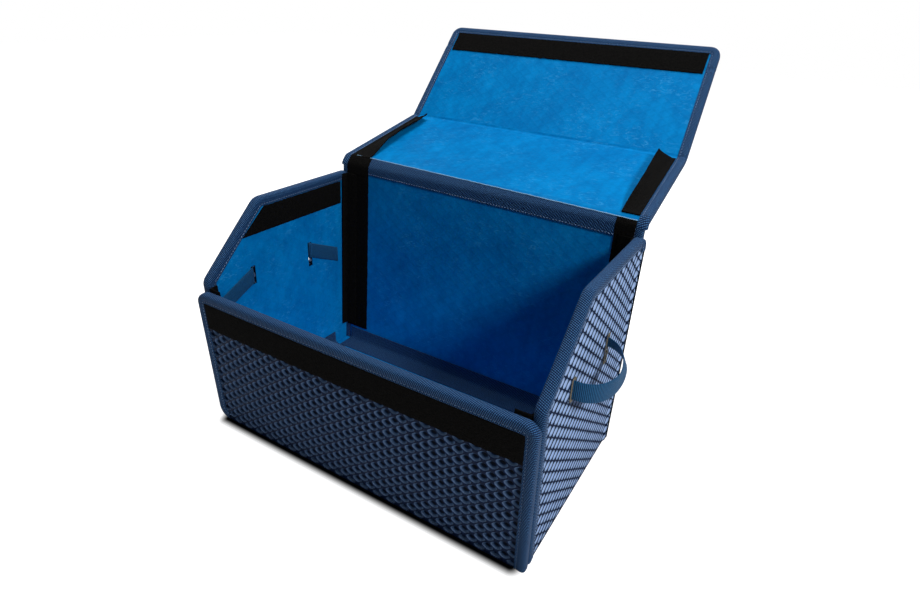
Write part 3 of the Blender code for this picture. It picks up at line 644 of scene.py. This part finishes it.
# Floor tapes. The same ribbed tape glued over the folds between the floor and the walls.
FLOOR_LEG = 0.022
# The tape is real; the front and back tapes reach further onto the floor than the side tapes, and their extra width
# of dark tape stands for floor in shade: painted shade.
FLOOR_LAP = 0.029


def floor_ring(face, wall, out, far):
    """Section of a floor tape, up the wall and over the floor to its far edge: (from the middle, height)."""
    low, top, flat = SHEET + 0.00005, SHEET + FLOOR_LEG, SHEET + TAPE
    return [(face, low), (face + out, top), (wall + out - TAPE, top), (wall - TAPE - 0.0002, SHEET + 0.005),
            (wall - 0.003, SHEET + 0.0024), (wall - 0.006, flat), (far, flat), (far, low)]


def floor_tape(tag, ring, steps, point):
    """Floor tape swept along its fold through a number of steps."""
    sections = [[point(k / steps * 2 - 1, out, z) for out, z in ring] for k in range(steps + 1)]
    band(tag + "_floor_fold_tape", sections, [ribbed_tape], "box", [tag + "_floor_tape"])


fold_x = CORE - FOOT_CORNER_LEFT - 0.0030
for tag, flip, tilt in (("front", -1, FRONT_TILT), ("back", 1, BACK_TILT)):
    wall = DEPTH / 2 - TAPE - SHEET + SHEET * tan(tilt)
    ring = floor_ring(wall - 0.0001, wall, FLOOR_LEG * tan(tilt), FLOOR_Y - FLOOR_LAP)
    floor_tape(tag, ring, 24, lambda share, out, z: (fold_x * share, flip * out, z))
fold_y = FLOOR_Y - FLOOR_LAP - 0.0005
wall = CORE - SHEET - 0.0001
ring = floor_ring(wall, wall, 0.0, FLOOR_X - FLOOR_LEG)
for tag, flip in (("left", -1), ("right", 1)):
    floor_tape(tag, ring, 12, lambda share, out, z: (flip * out, fold_y * share, z))


# Loop strips. Black knitted loop pile sewn flat: across the front under its binding for the lid's
# hook strip, and inside the top edge of both side walls.
STRIP = 0.0016
INSIDE = (-HALF - 0.00005, -HALF - STRIP)

# Nylon pile, brushed into loops: soft black that takes light only at a grazing angle, with lint.
# The loops are 0.5 mm across and are drawn at 1.4 mm.
black_pile, tree, shader = finish_of("nylon loop pile, black", 0.95, 1.53, Specular_IOR_Level=0.03,
                                     Sheen_Weight=0.01, Sheen_Roughness=0.6)
chart = add(tree, "UVMap")
loops = add(tree, "TexVoronoi", feature="F1", Vector=chart, Scale=720.0, Randomness=1.0)
fuzz = add(tree, "TexNoise", Vector=chart, Scale=260.0, Detail=5.0, Roughness=0.7)
level = add(tree, "Math", operation="MULTIPLY_ADD", i0=fuzz, i1=0.8, i2=loops)
colour_and_relief(shader, level, [(0.35, "#010101"), (0.75, "#030303"), (1.0, "#0f0e0d")], level, 1.0, 0.0009)


def pile_strip(name, where, corners, low, high, body, stands_for, bow=None, fray=0.0006):
    """Pile strip between four corners, with an uneven nap and slightly frayed edges."""
    bm = bmesh.new()
    a, b, c, d = [Vector(p) for p in corners]
    long, wide = [max(least, ceil((end - a).length / 0.0035)) for least, end in ((2, b), (4, d))]
    rows = []
    for j in range(wide + 1):
        row = []
        for i in range(long + 1):
            s, t = i / long, j / wide
            p = a.lerp(b, s).lerp(d.lerp(c, s), t)
            if j in (0, wide):
                p += (d - a).normalized() * fray * noise.noise(Vector((p.x, p.y, 0.0)) * 260)
            edge = i in (0, long) or j in (0, wide)
            rough = 0.00035 * noise.noise(Vector((p.x, p.y, 7.0)) * 330) * (1 if high > low else -1)
            nap = (high - low) * (0.72 if edge else 1.0) + rough
            row.append(bm.verts.new((p.x, p.y, low + nap)))
        rows.append(row)
    knit(bm, rows)
    close_rim(bm, low)
    chart_flat(bm)
    bmesh.ops.recalc_face_normals(bm, faces=bm.faces)
    return leave(name, bm, where, [black_pile], body, stands_for, bow=bow)


PILE_END = CORE - LEG - 0.0005
pile_strip("front_pile_strip", FRONT,
           [(-PILE_END, 0.156), (PILE_END, 0.156), (PILE_END, 0.1945), (-PILE_END, 0.1945)],
           HALF + 0.00005, HALF + STRIP, "box", ["front_loop_strip"], bow=front_bow, fray=0.0012)
strip_high = WALL_HEIGHT - TAPE - LEG - 0.0005
strip_low = strip_high - 0.036
back_end = side_corners[1][0] - LEG - 0.0020


def strip_front(z):
    """Front end of the side strip, parallel to the sloping edge of the wall."""
    return side_corners[3][0] + slope.x / slope.y * (z - side_corners[3][1]) + (LEG + 0.0003) / -slope.y


for tag, where, hand in SIDES:
    ends = [(strip_front(strip_low), strip_low), (back_end + tan(BACK_TILT) * strip_low, strip_low),
            (back_end + tan(BACK_TILT) * strip_high, strip_high), (strip_front(strip_high) + 0.004, strip_high)]
    pile_strip(tag + "_side_pile_strip", where, [(hand * y, z) for y, z in ends], *INSIDE, "box",
               [tag + "_side_loop_strip"], bow=side_bow(hand))


# Corner closures. Upright loop strips on the end walls, and the hook tabs of the side walls that
# are folded round the corner and pressed onto them.
CORNER_STRIPS = {"front_left": 0.041, "front_right": 0.041, "back_left": 0.042, "back_right": 0.026}
CORNER_TAB = 0.020
HINGE_LAP = 0.012
for tag, where, top, flip, bow in (("front", FRONT, FRONT_HEIGHT + 0.003, 1, front_bow),
                                   ("back", BACK, back_top - HINGE_LAP - 0.0005, -1, back_bow)):
    for hand, side in (("left", -1), ("right", 1)):
        s = side * flip
        edge = CORE - SHEET - TAPE - 0.0003
        limit = FRONT_HEIGHT - LEG - 0.003 if tag == "front" else top
        far = PILE_END - CORNER_STRIPS["%s_%s" % (tag, hand)]
        pile_strip("%s_corner_pile_%s" % (tag, hand), where,
                   [(s * PILE_END, 0.036), (s * PILE_END, limit), (s * far, limit), (s * far, 0.036)],
                   *INSIDE, "box", ["%s_corner_loop_%s" % (tag, hand)], bow=bow)
        close = -HALF - STRIP - 0.0004
        far_w = close - STRIP
        deep = far_w - 0.0105
        ring = [(edge - CORNER_TAB, close), (edge - CORNER_TAB, far_w + 0.0004), (edge - CORNER_TAB + 0.0004, far_w),
                (edge - STRIP - 0.0016, far_w), (edge - STRIP - 0.0003, far_w - 0.0014), (edge - STRIP, deep),
                (edge, deep), (edge, close - 0.0012), (edge - 0.0012, close)]
        sections = []
        for k in range(17):
            v = 0.040 + (top - 0.040) * k / 16
            wobble = 0.0004 * noise.noise(Vector((k * 0.7, s, 3.0)))
            sections.append([where @ Vector((s * (u + wobble), v, w + bow(u, v))) for u, w in ring])
        band("%s_corner_hook_tab_%s" % (tag, hand), sections, [black_pile], "box",
             ["%s_corner_tab_%s" % (tag, hand)])


# Lid. Three sections of the same sheet in one run with the back wall: rear, front and closing
# flap, narrowing slightly towards the free edge. The sheet is pressed thin where it bends.
LID_REAR = 0.196
LID_FRONT = 0.1558
LID_FLAP = 0.042
LID_LENGTH = LID_REAR + LID_FRONT + LID_FLAP
REAR_ANGLE = 12.2
FRONT_ANGLE = 48.2
FOLD_REACH = 0.0060
face_down = Matrix.Diagonal((-1, 1, -1, 1))
hinge_axis = Matrix.Translation((0, HINGE_Y, HINGE_HEIGHT)) @ Matrix.Rotation(radians(REAR_ANGLE), 4, "X")
fold_axis = (hinge_axis @ Matrix.Translation((0, LID_REAR, 0))
             @ Matrix.Rotation(radians(FRONT_ANGLE - REAR_ANGLE), 4, "X"))
flap_axis = fold_axis @ Matrix.Translation((0, LID_FRONT, 0))
LID_A, LID_B, LID_C = hinge_axis @ face_down, fold_axis @ face_down, flap_axis @ face_down


def lid_half(length):
    """Half width of the lid sheet at a distance from the hinge."""
    return CORE - 0.009 * length / LID_LENGTH


rear_bow = bowed(CORE, LID_REAR - FOLD_REACH, 0.0018, foot=HINGE_REACH)
fore_bow = bowed(CORE, LID_FRONT - FOLD_REACH, 0.0014, foot=FOLD_REACH)
lid_parts = (("rear", LID_A, 0.0, HINGE_REACH, LID_REAR - FOLD_REACH, rear_bow),
             ("front", LID_B, LID_REAR, FOLD_REACH, LID_FRONT - FOLD_REACH, fore_bow))
for tag, where, start, near, far, bow in lid_parts:
    w0, w1 = lid_half(start + near), lid_half(start + far)
    foam_panel("lid_%s_sheet" % tag, where, [(-w0, near), (w0, near), (w1, far), (-w1, far)], "lid_" + tag,
               ["lid_%s_panel" % tag], bow=bow)
flap_near = lid_half(LID_REAR + LID_FRONT + FOLD_REACH)
flap_far = lid_half(LID_LENGTH)
flap_end = LID_FLAP - TAPE
flap_path = [(flap_near, FOLD_REACH), (flap_far, flap_end), (-flap_far, flap_end), (-flap_near, FOLD_REACH)]
flap_outline = rounded(flap_path[3:] + flap_path[:3], [0, 0, CORNER, CORNER])
foam_panel("lid_flap_sheet", LID_C, flap_outline, "lid_flap", ["lid_flap_panel"])


# Bends of the lid. The sheet runs on through each crease, thinner there, and its edge tape with it, so each bend is
# one soft piece between the two sections it joins.
HINGE_WAIST = 0.0034
CREASE_WAIST = 0.0040
rear, fore = radians(REAR_ANGLE), radians(FRONT_ANGLE)
# Each bend: its axis, the angles of the sheet before and after it, its reach and its two bodies
creases = {"hinge": (hinge_axis.translation, pi / 2 - BACK_TILT, rear, HINGE_REACH, "box", "lid_rear"),
           "crease": (fold_axis.translation, rear, fore, FOLD_REACH, "lid_rear", "lid_front"),
           "flap": (flap_axis.translation, fore, fore, FOLD_REACH, "lid_front", "lid_flap")}


def bend_run(crease, waist, steps=10):
    """Middle line of a bend in the plane across its axis: (point, outward normal, half thickness)."""
    axis, first, last, reach, _, _ = creases[crease]
    a, b = [Vector((0, cos(angle), sin(angle))) for angle in (first, last)]
    out = []
    for k in range(steps + 1):
        t = k / steps
        p = axis - a * reach * (1 - t) ** 2 + b * reach * t ** 2
        along = (a * (1 - t) + b * t).normalized()
        out.append((p, Vector((0, along.z, -along.y)), HALF - (HALF - waist) * sin(pi * t) ** 2))
    return out


def turn_with(piece):
    """Bakes the placement of a piece that lies across a crease into its mesh; it is tied to neither section."""
    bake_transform(piece)


for tag, web, waist, wide_a, wide_b in (
        ("hinge", "lid_hinge_web", HINGE_WAIST, CORE, CORE),
        ("crease", "lid_fold_web", CREASE_WAIST, lid_half(LID_REAR - FOLD_REACH), lid_half(LID_REAR + FOLD_REACH)),
        ("flap", "flap_fold_web", CREASE_WAIST, lid_half(LID_REAR + LID_FRONT - FOLD_REACH), flap_near)):
    axis, _, last = creases[tag][:3]
    run = bend_run(tag, waist)
    share = [k / (len(run) - 1) for k in range(len(run))]
    wide = [wide_a + (wide_b - wide_a) * t for t in share]
    bm = bmesh.new()
    layer = bm.loops.layers.uv.verify()
    for side in (1, -1):
        grid = []
        for k, (p, n, h) in enumerate(run):
            row = []
            for x in [wide[k] * (i / 25 - 1) for i in range(51)]:
                crumple = 0.00025 * noise.noise(Vector((x * 90, k * 0.4, side * 5.0))) * sin(pi * share[k])
                row.append(bm.verts.new(p + n * side * (h + crumple) + Vector((x, 0, 0))))
            grid.append(row)
        for r0, r1 in zip(grid, grid[1:]):
            for i in range(len(r0) - 1):
                quad = (r0[i], r0[i + 1], r1[i + 1], r1[i])
                face = bm.faces.new(quad if side < 0 else quad[::-1])
                face.material_index = 0 if side > 0 else 1
                for loop in face.loops:
                    spot = loop.vert.co
                    loop[layer].uv = (spot.x, (spot - axis).dot(Vector((0, cos(last), sin(last)))))
    piece = leave("lid_%s_bend" % tag, bm, Matrix.Identity(4), [navy_foam, blue_foam], None, [web],
                  crisp=60)
    turn_with(piece)
    for hand, side in (("left", -1), ("right", 1)):
        sections = []
        for k, (p, n, h) in enumerate(run):
            half_ring = [(d, h * (1 + min(w, 0.0) / HALF) + max(w, 0.0)) for d, w in fold_section]
            ring = half_ring + [(d, -w) for d, w in reversed(half_ring[:-1])]
            sections.append([p + n * w + Vector((side * (wide[k] - d), 0, 0)) for d, w in ring])
        turn_with(band("lid_%s_bend_tape_%s" % (tag, hand), sections, [ribbed_tape], None))


# Edge tape of the lid: the ribbed binding runs up both sides and round the closing flap.
for tag, where, start, near, far, bow in lid_parts:
    w0, w1 = lid_half(start + near), lid_half(start + far)
    for hand, ends in (("left", [(w0, near), (w1, far)]), ("right", [(-w1, far), (-w0, near)])):
        bind("lid_%s_edge_tape_%s" % (tag, hand), where, ends, "lid_" + tag,
             ["lid_%s_binding_%s" % (tag, hand)], bow=bow)
flap_path = rounded(flap_path, [0, CORNER, CORNER, 0], closed=False)
bind("lid_flap_edge_tape", LID_C, flap_path, "lid_flap", ["lid_flap_binding"])


# Hinge tape. Wide ribbed tape sewn over the inside of the lid hinge, and black loop pile on both sides of it that
# carries the corner closures on into the lid. A thin pale cord along their upper edge stands for the bright line on
# the crease: painted highlight.
BEND_STEPS = 40
TAPE_SLANT = 1.05
wall_up = Vector((0, sin(BACK_TILT), cos(BACK_TILT)))
wall_out = Vector((0, cos(BACK_TILT), -sin(BACK_TILT)))
bend_line = bend_run("hinge", HINGE_WAIST, steps=BEND_STEPS)


def hinge_point(x, s, lift):
    """Point over the inside of the hinge: s below zero runs down the wall, 0 to 1 through the bend."""
    p, n, h = bend_line[max(0, min(BEND_STEPS, round(s * BEND_STEPS)))]
    return p + wall_up * min(0.0, s) + Vector((x, 0, 0)) - n * (h + lift)


def tape_top(x):
    """Where the tape's upper edge lies in the bend; it is sewn on slightly askew."""
    return 0.75 - TAPE_SLANT * x


def over_hinge(name, first, last, drop, thick, finish, stands_for=(), stitched=False):
    """Strip laid over the inside of the hinge from one x to another, shaped round the bend."""
    count = ceil((last - first) / 0.010)
    sections, row = [], []
    for x in [first + (last - first) * i / count for i in range(count + 1)]:
        low = -drop - 0.004 * (x / CORE) if stitched else -drop
        line = [low, low / 2] + [tape_top(x) * k / 9 for k in range(10)]
        sections.append([hinge_point(x, s, 0.0002) for s in line] +
                        [hinge_point(x, s, thick + 0.0002) for s in reversed(line)])
        row.append((hinge_point(x, low + 0.0018, thick + 0.0003), -wall_out))
    turn_with(band(name, sections, [finish, thread], None, stands_for, stitches=[row] if stitched else ()))


tape_left, tape_right = [side * (CORE - LEG - CORNER_STRIPS[corner] - 0.001)
                         for side, corner in ((-1, "back_left"), (1, "back_right"))]
over_hinge("hinge_cover_tape", tape_left, tape_right, 0.012, 0.0011, ribbed_tape, ["lid_hinge_tape"],
           stitched=True)
for tag, first, last in (("left", -PILE_END, tape_left - 0.0003), ("right", tape_right + 0.0003, PILE_END)):
    over_hinge("hinge_pile_" + tag, first, last, HINGE_LAP, STRIP, black_pile)

# Pale blue cord, satin, with a fine twist in it, laid along the crease: its pale colour is a painted highlight.
crease_highlight_cord, tree, shader = finish_of("pale cord, painted crease highlight", 0.45, 1.49)
chart = add(tree, "UVMap")
twist = add(tree, "TexWave", bands_direction="DIAGONAL", Vector=chart, Scale=240.0, Distortion=0.8).outputs["Fac"]
worn = add(tree, "TexNoise", Vector=chart, Scale=40.0, Detail=3.0)
level = add(tree, "Math", operation="MULTIPLY_ADD", i0=worn, i1=0.7, i2=twist)
colour_and_relief(shader, level, [(0.35, "#2f87c6"), (1.0, "#a5cfea")], twist, 0.3, 0.0003)
HIGHLIGHT_START = -0.226
sections = []
for k in range(49):
    x = HIGHLIGHT_START + (PILE_END - HIGHLIGHT_START) * k / 48
    middle = hinge_point(x, tape_top(x), 0.0014)
    sections.append([middle + Vector((0, cos(m * pi / 3), sin(m * pi / 3))) * 0.0007 for m in range(6)])
turn_with(band("hinge_crease_highlight", sections, [crease_highlight_cord], None))


# Lid closures. A hook strip inside the free edge of the flap, and a hook tab along each side of
# the rear section, sewn down at its outer edge and standing up inside.
hook_low, hook_high = -0.0088, flap_end - LEG - 0.0005
hook_half = flap_far - LEG - 0.0020
sections = []
for k in range(111):
    x = hook_half * (k / 55 - 1)
    nap = 0.0003 * noise.noise(Vector((x * 300, 2.0, 1.0)))
    frayed = 0.0008 * noise.noise(Vector((x * 120, 5.0, 1.0)))
    line = [hook_low + frayed, -0.004, -0.001, 0.001, 0.005, 0.012, 0.020, hook_high]
    sections.append([LID_C @ Vector((x, v, -HALF - 0.0003)) for v in line] +
                    [LID_C @ Vector((x, v, -HALF - STRIP - nap)) for v in reversed(line)])
turn_with(band("lid_hook_pile_strip", sections, [black_pile], None, ["lid_hook_strip"], crisp=60))
TAB_PARTS = 8
for tag, side, widths, rise in (("left", 1, (0.037, 0.030), (2, 26)), ("right", -1, (0.024, 0.030), (2, 34))):
    sections = []
    for k in range(29):
        t = k / 28
        v = HINGE_REACH + 0.0015 - 0.004 * (1 - t) ** 8 + (LID_REAR - HINGE_REACH - FOLD_REACH - 0.006) * t
        root = lid_half(v) - LEG - 0.0006
        lifted = min(1.0, t / 0.35)
        angle = radians(rise[0] + (rise[1] - rise[0]) * ease(lifted))
        bend = Vector((root - 0.006, INSIDE[0]))
        ring_low, ring_high = [Vector((root, INSIDE[0]))], [Vector((root, INSIDE[1]))]
        wide = widths[0] + (widths[1] - widths[0]) * t - 0.006
        for m in range(TAB_PARTS + 1):
            part = m / TAB_PARTS
            lean = angle * (0.60 + 0.40 * part)
            ripple = (0.0009 * sin(t * 11 + m * 0.6) + 0.0004 * sin(t * 31)) * lifted
            out = Vector((-sin(lean), cos(lean)))
            spot = bend + Vector((-cos(lean), -sin(lean))) * wide * part + out * ripple * part
            ring_low.append(spot)
            ring_high.append(spot - out * STRIP)
        drag = [0.0] + [0.004 * (m / TAB_PARTS) ** 2 * t for m in range(TAB_PARTS + 1)]
        sections.append([LID_A @ Vector((side * p.x, v - pull, p.y + rear_bow(p.x, v)))
                         for p, pull in zip(ring_low + ring_high[::-1], drag + drag[::-1])])
    band("lid_side_hook_tab_" + tag, sections, [black_pile], "lid_rear", ["lid_tab_" + tag])


# Carry handles. Flat polypropylene webbing, 25 mm wide, led out through the two slots of each side
# wall and sewn down inside; the cut edge of the sheet shows pale round the slots.
WEB_THICK = 0.0016
WEB_BEND = 0.003
WEB_LEG = 0.058
WEB_DROP = 0.026
LEAN = 22.0
GATHER = 0.30

# Polypropylene webbing, woven in a fine rib: navy with a dry sheen, painted near-black in the gaps of the weave,
# painted shade. The picks are 1 mm apart and are drawn at 2 mm.
navy_webbing, tree, shader = finish_of("polypropylene webbing, navy", 0.58, 1.49, Specular_IOR_Level=0.12,
                                       Sheen_Weight=0.02, Sheen_Roughness=0.5)
chart = add(tree, "UVMap")
picks = add(tree, "TexWave", bands_direction="Y", Vector=chart, Scale=pi / 10 / 0.0020, Distortion=0.4)
ends = add(tree, "TexWave", bands_direction="X", Vector=chart, Scale=pi / 10 / 0.0016, Distortion=0.4)
weave = add(tree, "Math", operation="MULTIPLY_ADD", i0=ends.outputs["Fac"], i1=0.4, i2=picks.outputs["Fac"])
fuzz = add(tree, "TexNoise", Vector=chart, Scale=300.0, Detail=4.0)
level = add(tree, "Math", operation="MULTIPLY_ADD", i0=fuzz, i1=0.5, i2=weave)
colour_and_relief(shader, level, [(0.3, "#020c18"), (0.6842, "#0c3050"), (1.0, "#22608f")], level, 0.7, 0.0005)

# EVA foam, knife-cut: matt grey-beige core with open cells.
cut_foam, tree, shader = finish_of("EVA foam, cut edge", 0.85, 1.49, Specular_IOR_Level=0.3)
chart = add(tree, "TexCoord")
cells = add(tree, "TexNoise", Vector=chart.outputs["Object"], Scale=900.0, Detail=3.0)
colour_and_relief(shader, cells, [(0.3, "#45433c"), (0.7, "#837d6e")], cells, 0.6, 0.0004)


def handle_run():
    """Run of the webbing in plan: (along the wall, out from its middle, drop, lean in degrees)."""
    inner = -HALF - 0.0003 - WEB_THICK / 2
    leg = [(WEB_BEND + WEB_LEG * k / 8, inner, WEB_DROP * k / 8, 0.0) for k in range(9)]
    curl = [(WEB_BEND * (1 - sin(pi * k / 12)), inner + WEB_BEND * (1 - cos(pi * k / 12)), 0.0, 0.0)
            for k in range(1, 6)]
    run = [(SLOT_FRONT - back, *rest) for back, *rest in leg[::-1] + curl]
    start, stop = Vector((SLOT_FRONT, HALF + 0.002)), Vector((SLOT_BACK, HALF + 0.002))
    pull = Vector((0.004, 0.046))
    ctrl = [start, start + pull, stop + Vector((-pull.x, pull.y)), stop]
    for k in range(31):
        t = k / 30
        share = [(1 - t) ** 3, 3 * t * (1 - t) ** 2, 3 * t * t * (1 - t), t ** 3]
        p = sum((c * f for c, f in zip(ctrl, share)), Vector((0, 0)))
        twist = ease((t - 0.42) / 0.30)
        run.append((p.x, p.y, 0.006 * sin(pi * t) - 0.0040 * twist, LEAN * twist))
    return run + [(SLOT_BACK + back, *rest) for back, *rest in curl[::-1] + leg]


# Section of the webbing, in halves of its width and thickness
lens = [(1.0, 0.0), (0.97, 0.55), (0.86, 1.0), (0.4, 1.0), (0.0, 1.0), (-0.4, 1.0), (-0.86, 1.0), (-0.97, 0.55)]
lens += [(-a, -b) for a, b in lens]
run = handle_run()
for tag, where, hand in SIDES:
    sections = []
    for i, (y, out, drop, lean) in enumerate(run):
        gather = 1 - GATHER * lean / LEAN
        along = (Vector(run[min(i + 1, len(run) - 1)][:2]) - Vector(run[max(i - 1, 0)][:2])).normalized()
        normal = Vector((-along.y, along.x))
        belly = side_belly(y, SLOT_HEIGHT) if out < HALF else 0.0
        ring = []
        for a, b in lens:
            wide, thick = a * gather * WEBBING / 2, b * WEB_THICK / 2
            off = thick * cos(radians(lean)) - wide * sin(radians(lean))
            up = wide * cos(radians(lean)) + thick * sin(radians(lean))
            ring.append(where @ Vector((hand * (y + normal.x * off), SLOT_HEIGHT - drop + up,
                                        out + belly + normal.y * off)))
        sections.append(ring)
    band("carry_handle_" + tag, sections, [navy_webbing], "box", ["handle_strap_" + tag], crisp=70)
    for end, y, longer in (("front", SLOT_FRONT, 0.0), ("back", SLOT_BACK, SLOT_LONGER)):
        corners = [(hand * y + u * (SLOT_GAP / 2 + 0.0018), SLOT_HEIGHT + v * (WEBBING / 2 + 0.0020) + low)
                   for u, v, low in ((-1, -1, -longer), (1, -1, -longer), (1, 1, 0), (-1, 1, 0))]
        loop = rounded(corners, [0.0030] * 4, step=30)
        bm = bmesh.new()
        rings = []
        for i, p in enumerate(loop):
            way = (loop[(i + 1) % len(loop)] - loop[i - 1]).normalized()
            spots = [p + Vector((way.y, -way.x)) * 0.0017 * cos(pi * k / 3) for k in range(6)]
            rings.append([bm.verts.new((*spot, HALF + 0.0001 + 0.0007 * sin(pi * k / 3)))
                          for k, spot in enumerate(spots)])
        for i, r0 in enumerate(rings):
            r1 = rings[(i + 1) % len(rings)]
            for k in range(6):
                bm.faces.new((r0[k], r0[(k + 1) % 6], r1[(k + 1) % 6], r1[k]))
        bmesh.ops.recalc_face_normals(bm, faces=bm.faces)
        leave("%s_slot_rim_%s" % (end, tag), bm, where, [cut_foam], "box", crisp=80,
              bow=side_bow(hand))


# Studio. A plain white floor that keeps the soft shadow of the bag, white surroundings, a large
# soft light overhead and a smaller one from the right.
bm = bmesh.new()
bmesh.ops.create_grid(bm, x_segments=8, y_segments=8, size=6.0)
mesh = bpy.data.meshes.new("studio_floor")
bm.to_mesh(mesh)
bm.free()
place("studio_floor", mesh)


def shown(tree, gloss):
    """1 for what is seen straight or through glass, and a share of it for what a glossy face mirrors."""
    rays = add(tree, "LightPath").outputs
    dim = add(tree, "Math", operation="MULTIPLY", i0=rays["Is Glossy Ray"], i1=gloss)
    seen = add(tree, "Math", operation="MAXIMUM", i0=rays["Is Camera Ray"], i1=dim)
    return add(tree, "Math", operation="MAXIMUM", i0=seen, i1=rays["Is Transmission Ray"])


# Matt white paper with a glow of its own, a little weaker near the bag so its cast shadow shows. A shadow is painted
# on it: near-black right under the bag and along its foot.
BAG_FOOT = (0.232, 0.139, 0.0)
white, tree, shader = finish_of("studio floor, matt white", 0.9, 1.45, Specular_IOR_Level=0.0)
where_on_floor = add(tree, "TexCoord")
folded = add(tree, "VectorMath", operation="ABSOLUTE", i0=where_on_floor.outputs["Object"])
beyond = add(tree, "VectorMath", operation="SUBTRACT", i0=folded, i1=BAG_FOOT)
outer = add(tree, "VectorMath", operation="MAXIMUM", i0=beyond, i1=(0.0, 0.0, 0.0))
reach = add(tree, "VectorMath", operation="LENGTH", i0=outer)
# Painted shadow: the floor turns near-black within 4 to 19 mm of the bag's foot.
painted_shadow = add(tree, "MapRange", interpolation_type="SMOOTHSTEP", Value=reach.outputs["Value"], i1=0.004, i2=0.019,
            i3=0.0, i4=1.0)
fade = add(tree, "MapRange", interpolation_type="SMOOTHSTEP", Value=reach.outputs["Value"], i1=0.02, i2=0.45,
           i3=0.85, i4=1.0)
glow_less_painted_shadow = add(tree, "Math", operation="MULTIPLY", i0=fade, i1=painted_shadow)
lift = add(tree, "Math", operation="MULTIPLY", i0=shown(tree, 0.25), i1=glow_less_painted_shadow)
ground = add(tree, "Mix", data_type="RGBA", i0=painted_shadow, i6="#050505", i7="#e8e8e8")
feed(shader, Base_Color=ground.outputs[2])
glow = add(tree, "Emission", Color=(1.0, 1.0, 1.0, 1.0), Strength=lift)
both = add(tree, "AddShader", i0=shader, i1=glow)
feed(tree.nodes["Material Output"], Surface=both)
mesh.materials.append(white)

world = bpy.data.worlds.new("studio surroundings")
bpy.context.scene.world = world
world.use_nodes = True
tree = world.node_tree
level = add(tree, "MapRange", Value=shown(tree, 1.0), i1=0.0, i2=1.0, i3=0.05, i4=1.0)
feed(tree.nodes["Background"], Color=(1.0, 1.0, 1.0, 1.0), Strength=level)


def lamp(name, spot, aim, size, power):
    """Soft rectangular light that points at a spot."""
    data = bpy.data.lights.new(name, "AREA")
    data.shape = "RECTANGLE"
    data.size, data.size_y = size
    data.energy = power
    item = place(name, data)
    item.location = spot
    item.rotation_mode = "QUATERNION"
    item.rotation_quaternion = (Vector(aim) - Vector(spot)).to_track_quat("-Z", "Y")


lamp("overhead_light", (-0.25, 0.50, 2.1), (0.0, 0.2, 0.2), (1.2, 1.2), 24.0)
lamp("right_light", (1.60, -0.40, 1.50), (0.25, 0.0, 0.2), (0.40, 0.40), 25.0)

# Camera, placed where the photograph was taken: about a 23 mm lens, looking down on the bag from
# its front right corner.
PIXELS = (920, 613)
MIDDLE = (460.5, 286.5)
FOCAL = 600.2
FILM = 36.0
lens_data = bpy.data.cameras.new("camera")
lens_data.sensor_fit = "HORIZONTAL"
lens_data.sensor_width = FILM
lens_data.lens = FOCAL * FILM / PIXELS[0]
lens_data.shift_x = (PIXELS[0] / 2 - MIDDLE[0]) / PIXELS[0]
lens_data.shift_y = (MIDDLE[1] - PIXELS[1] / 2) / PIXELS[0]
camera = place("camera", lens_data)
right = Vector((0.854391, 0.517876, 0.042667)).normalized()
look = Vector((-0.449661, 0.778, -0.438772)).normalized()
up = right.cross(look).normalized()
turn = Matrix((right, up, -look)).transposed().to_4x4()
camera.matrix_world = Matrix.Translation((0.40746, -0.58415, 0.5789)) @ turn
bpy.context.scene.camera = camera
bpy.context.scene.view_settings.view_transform = "Standard"
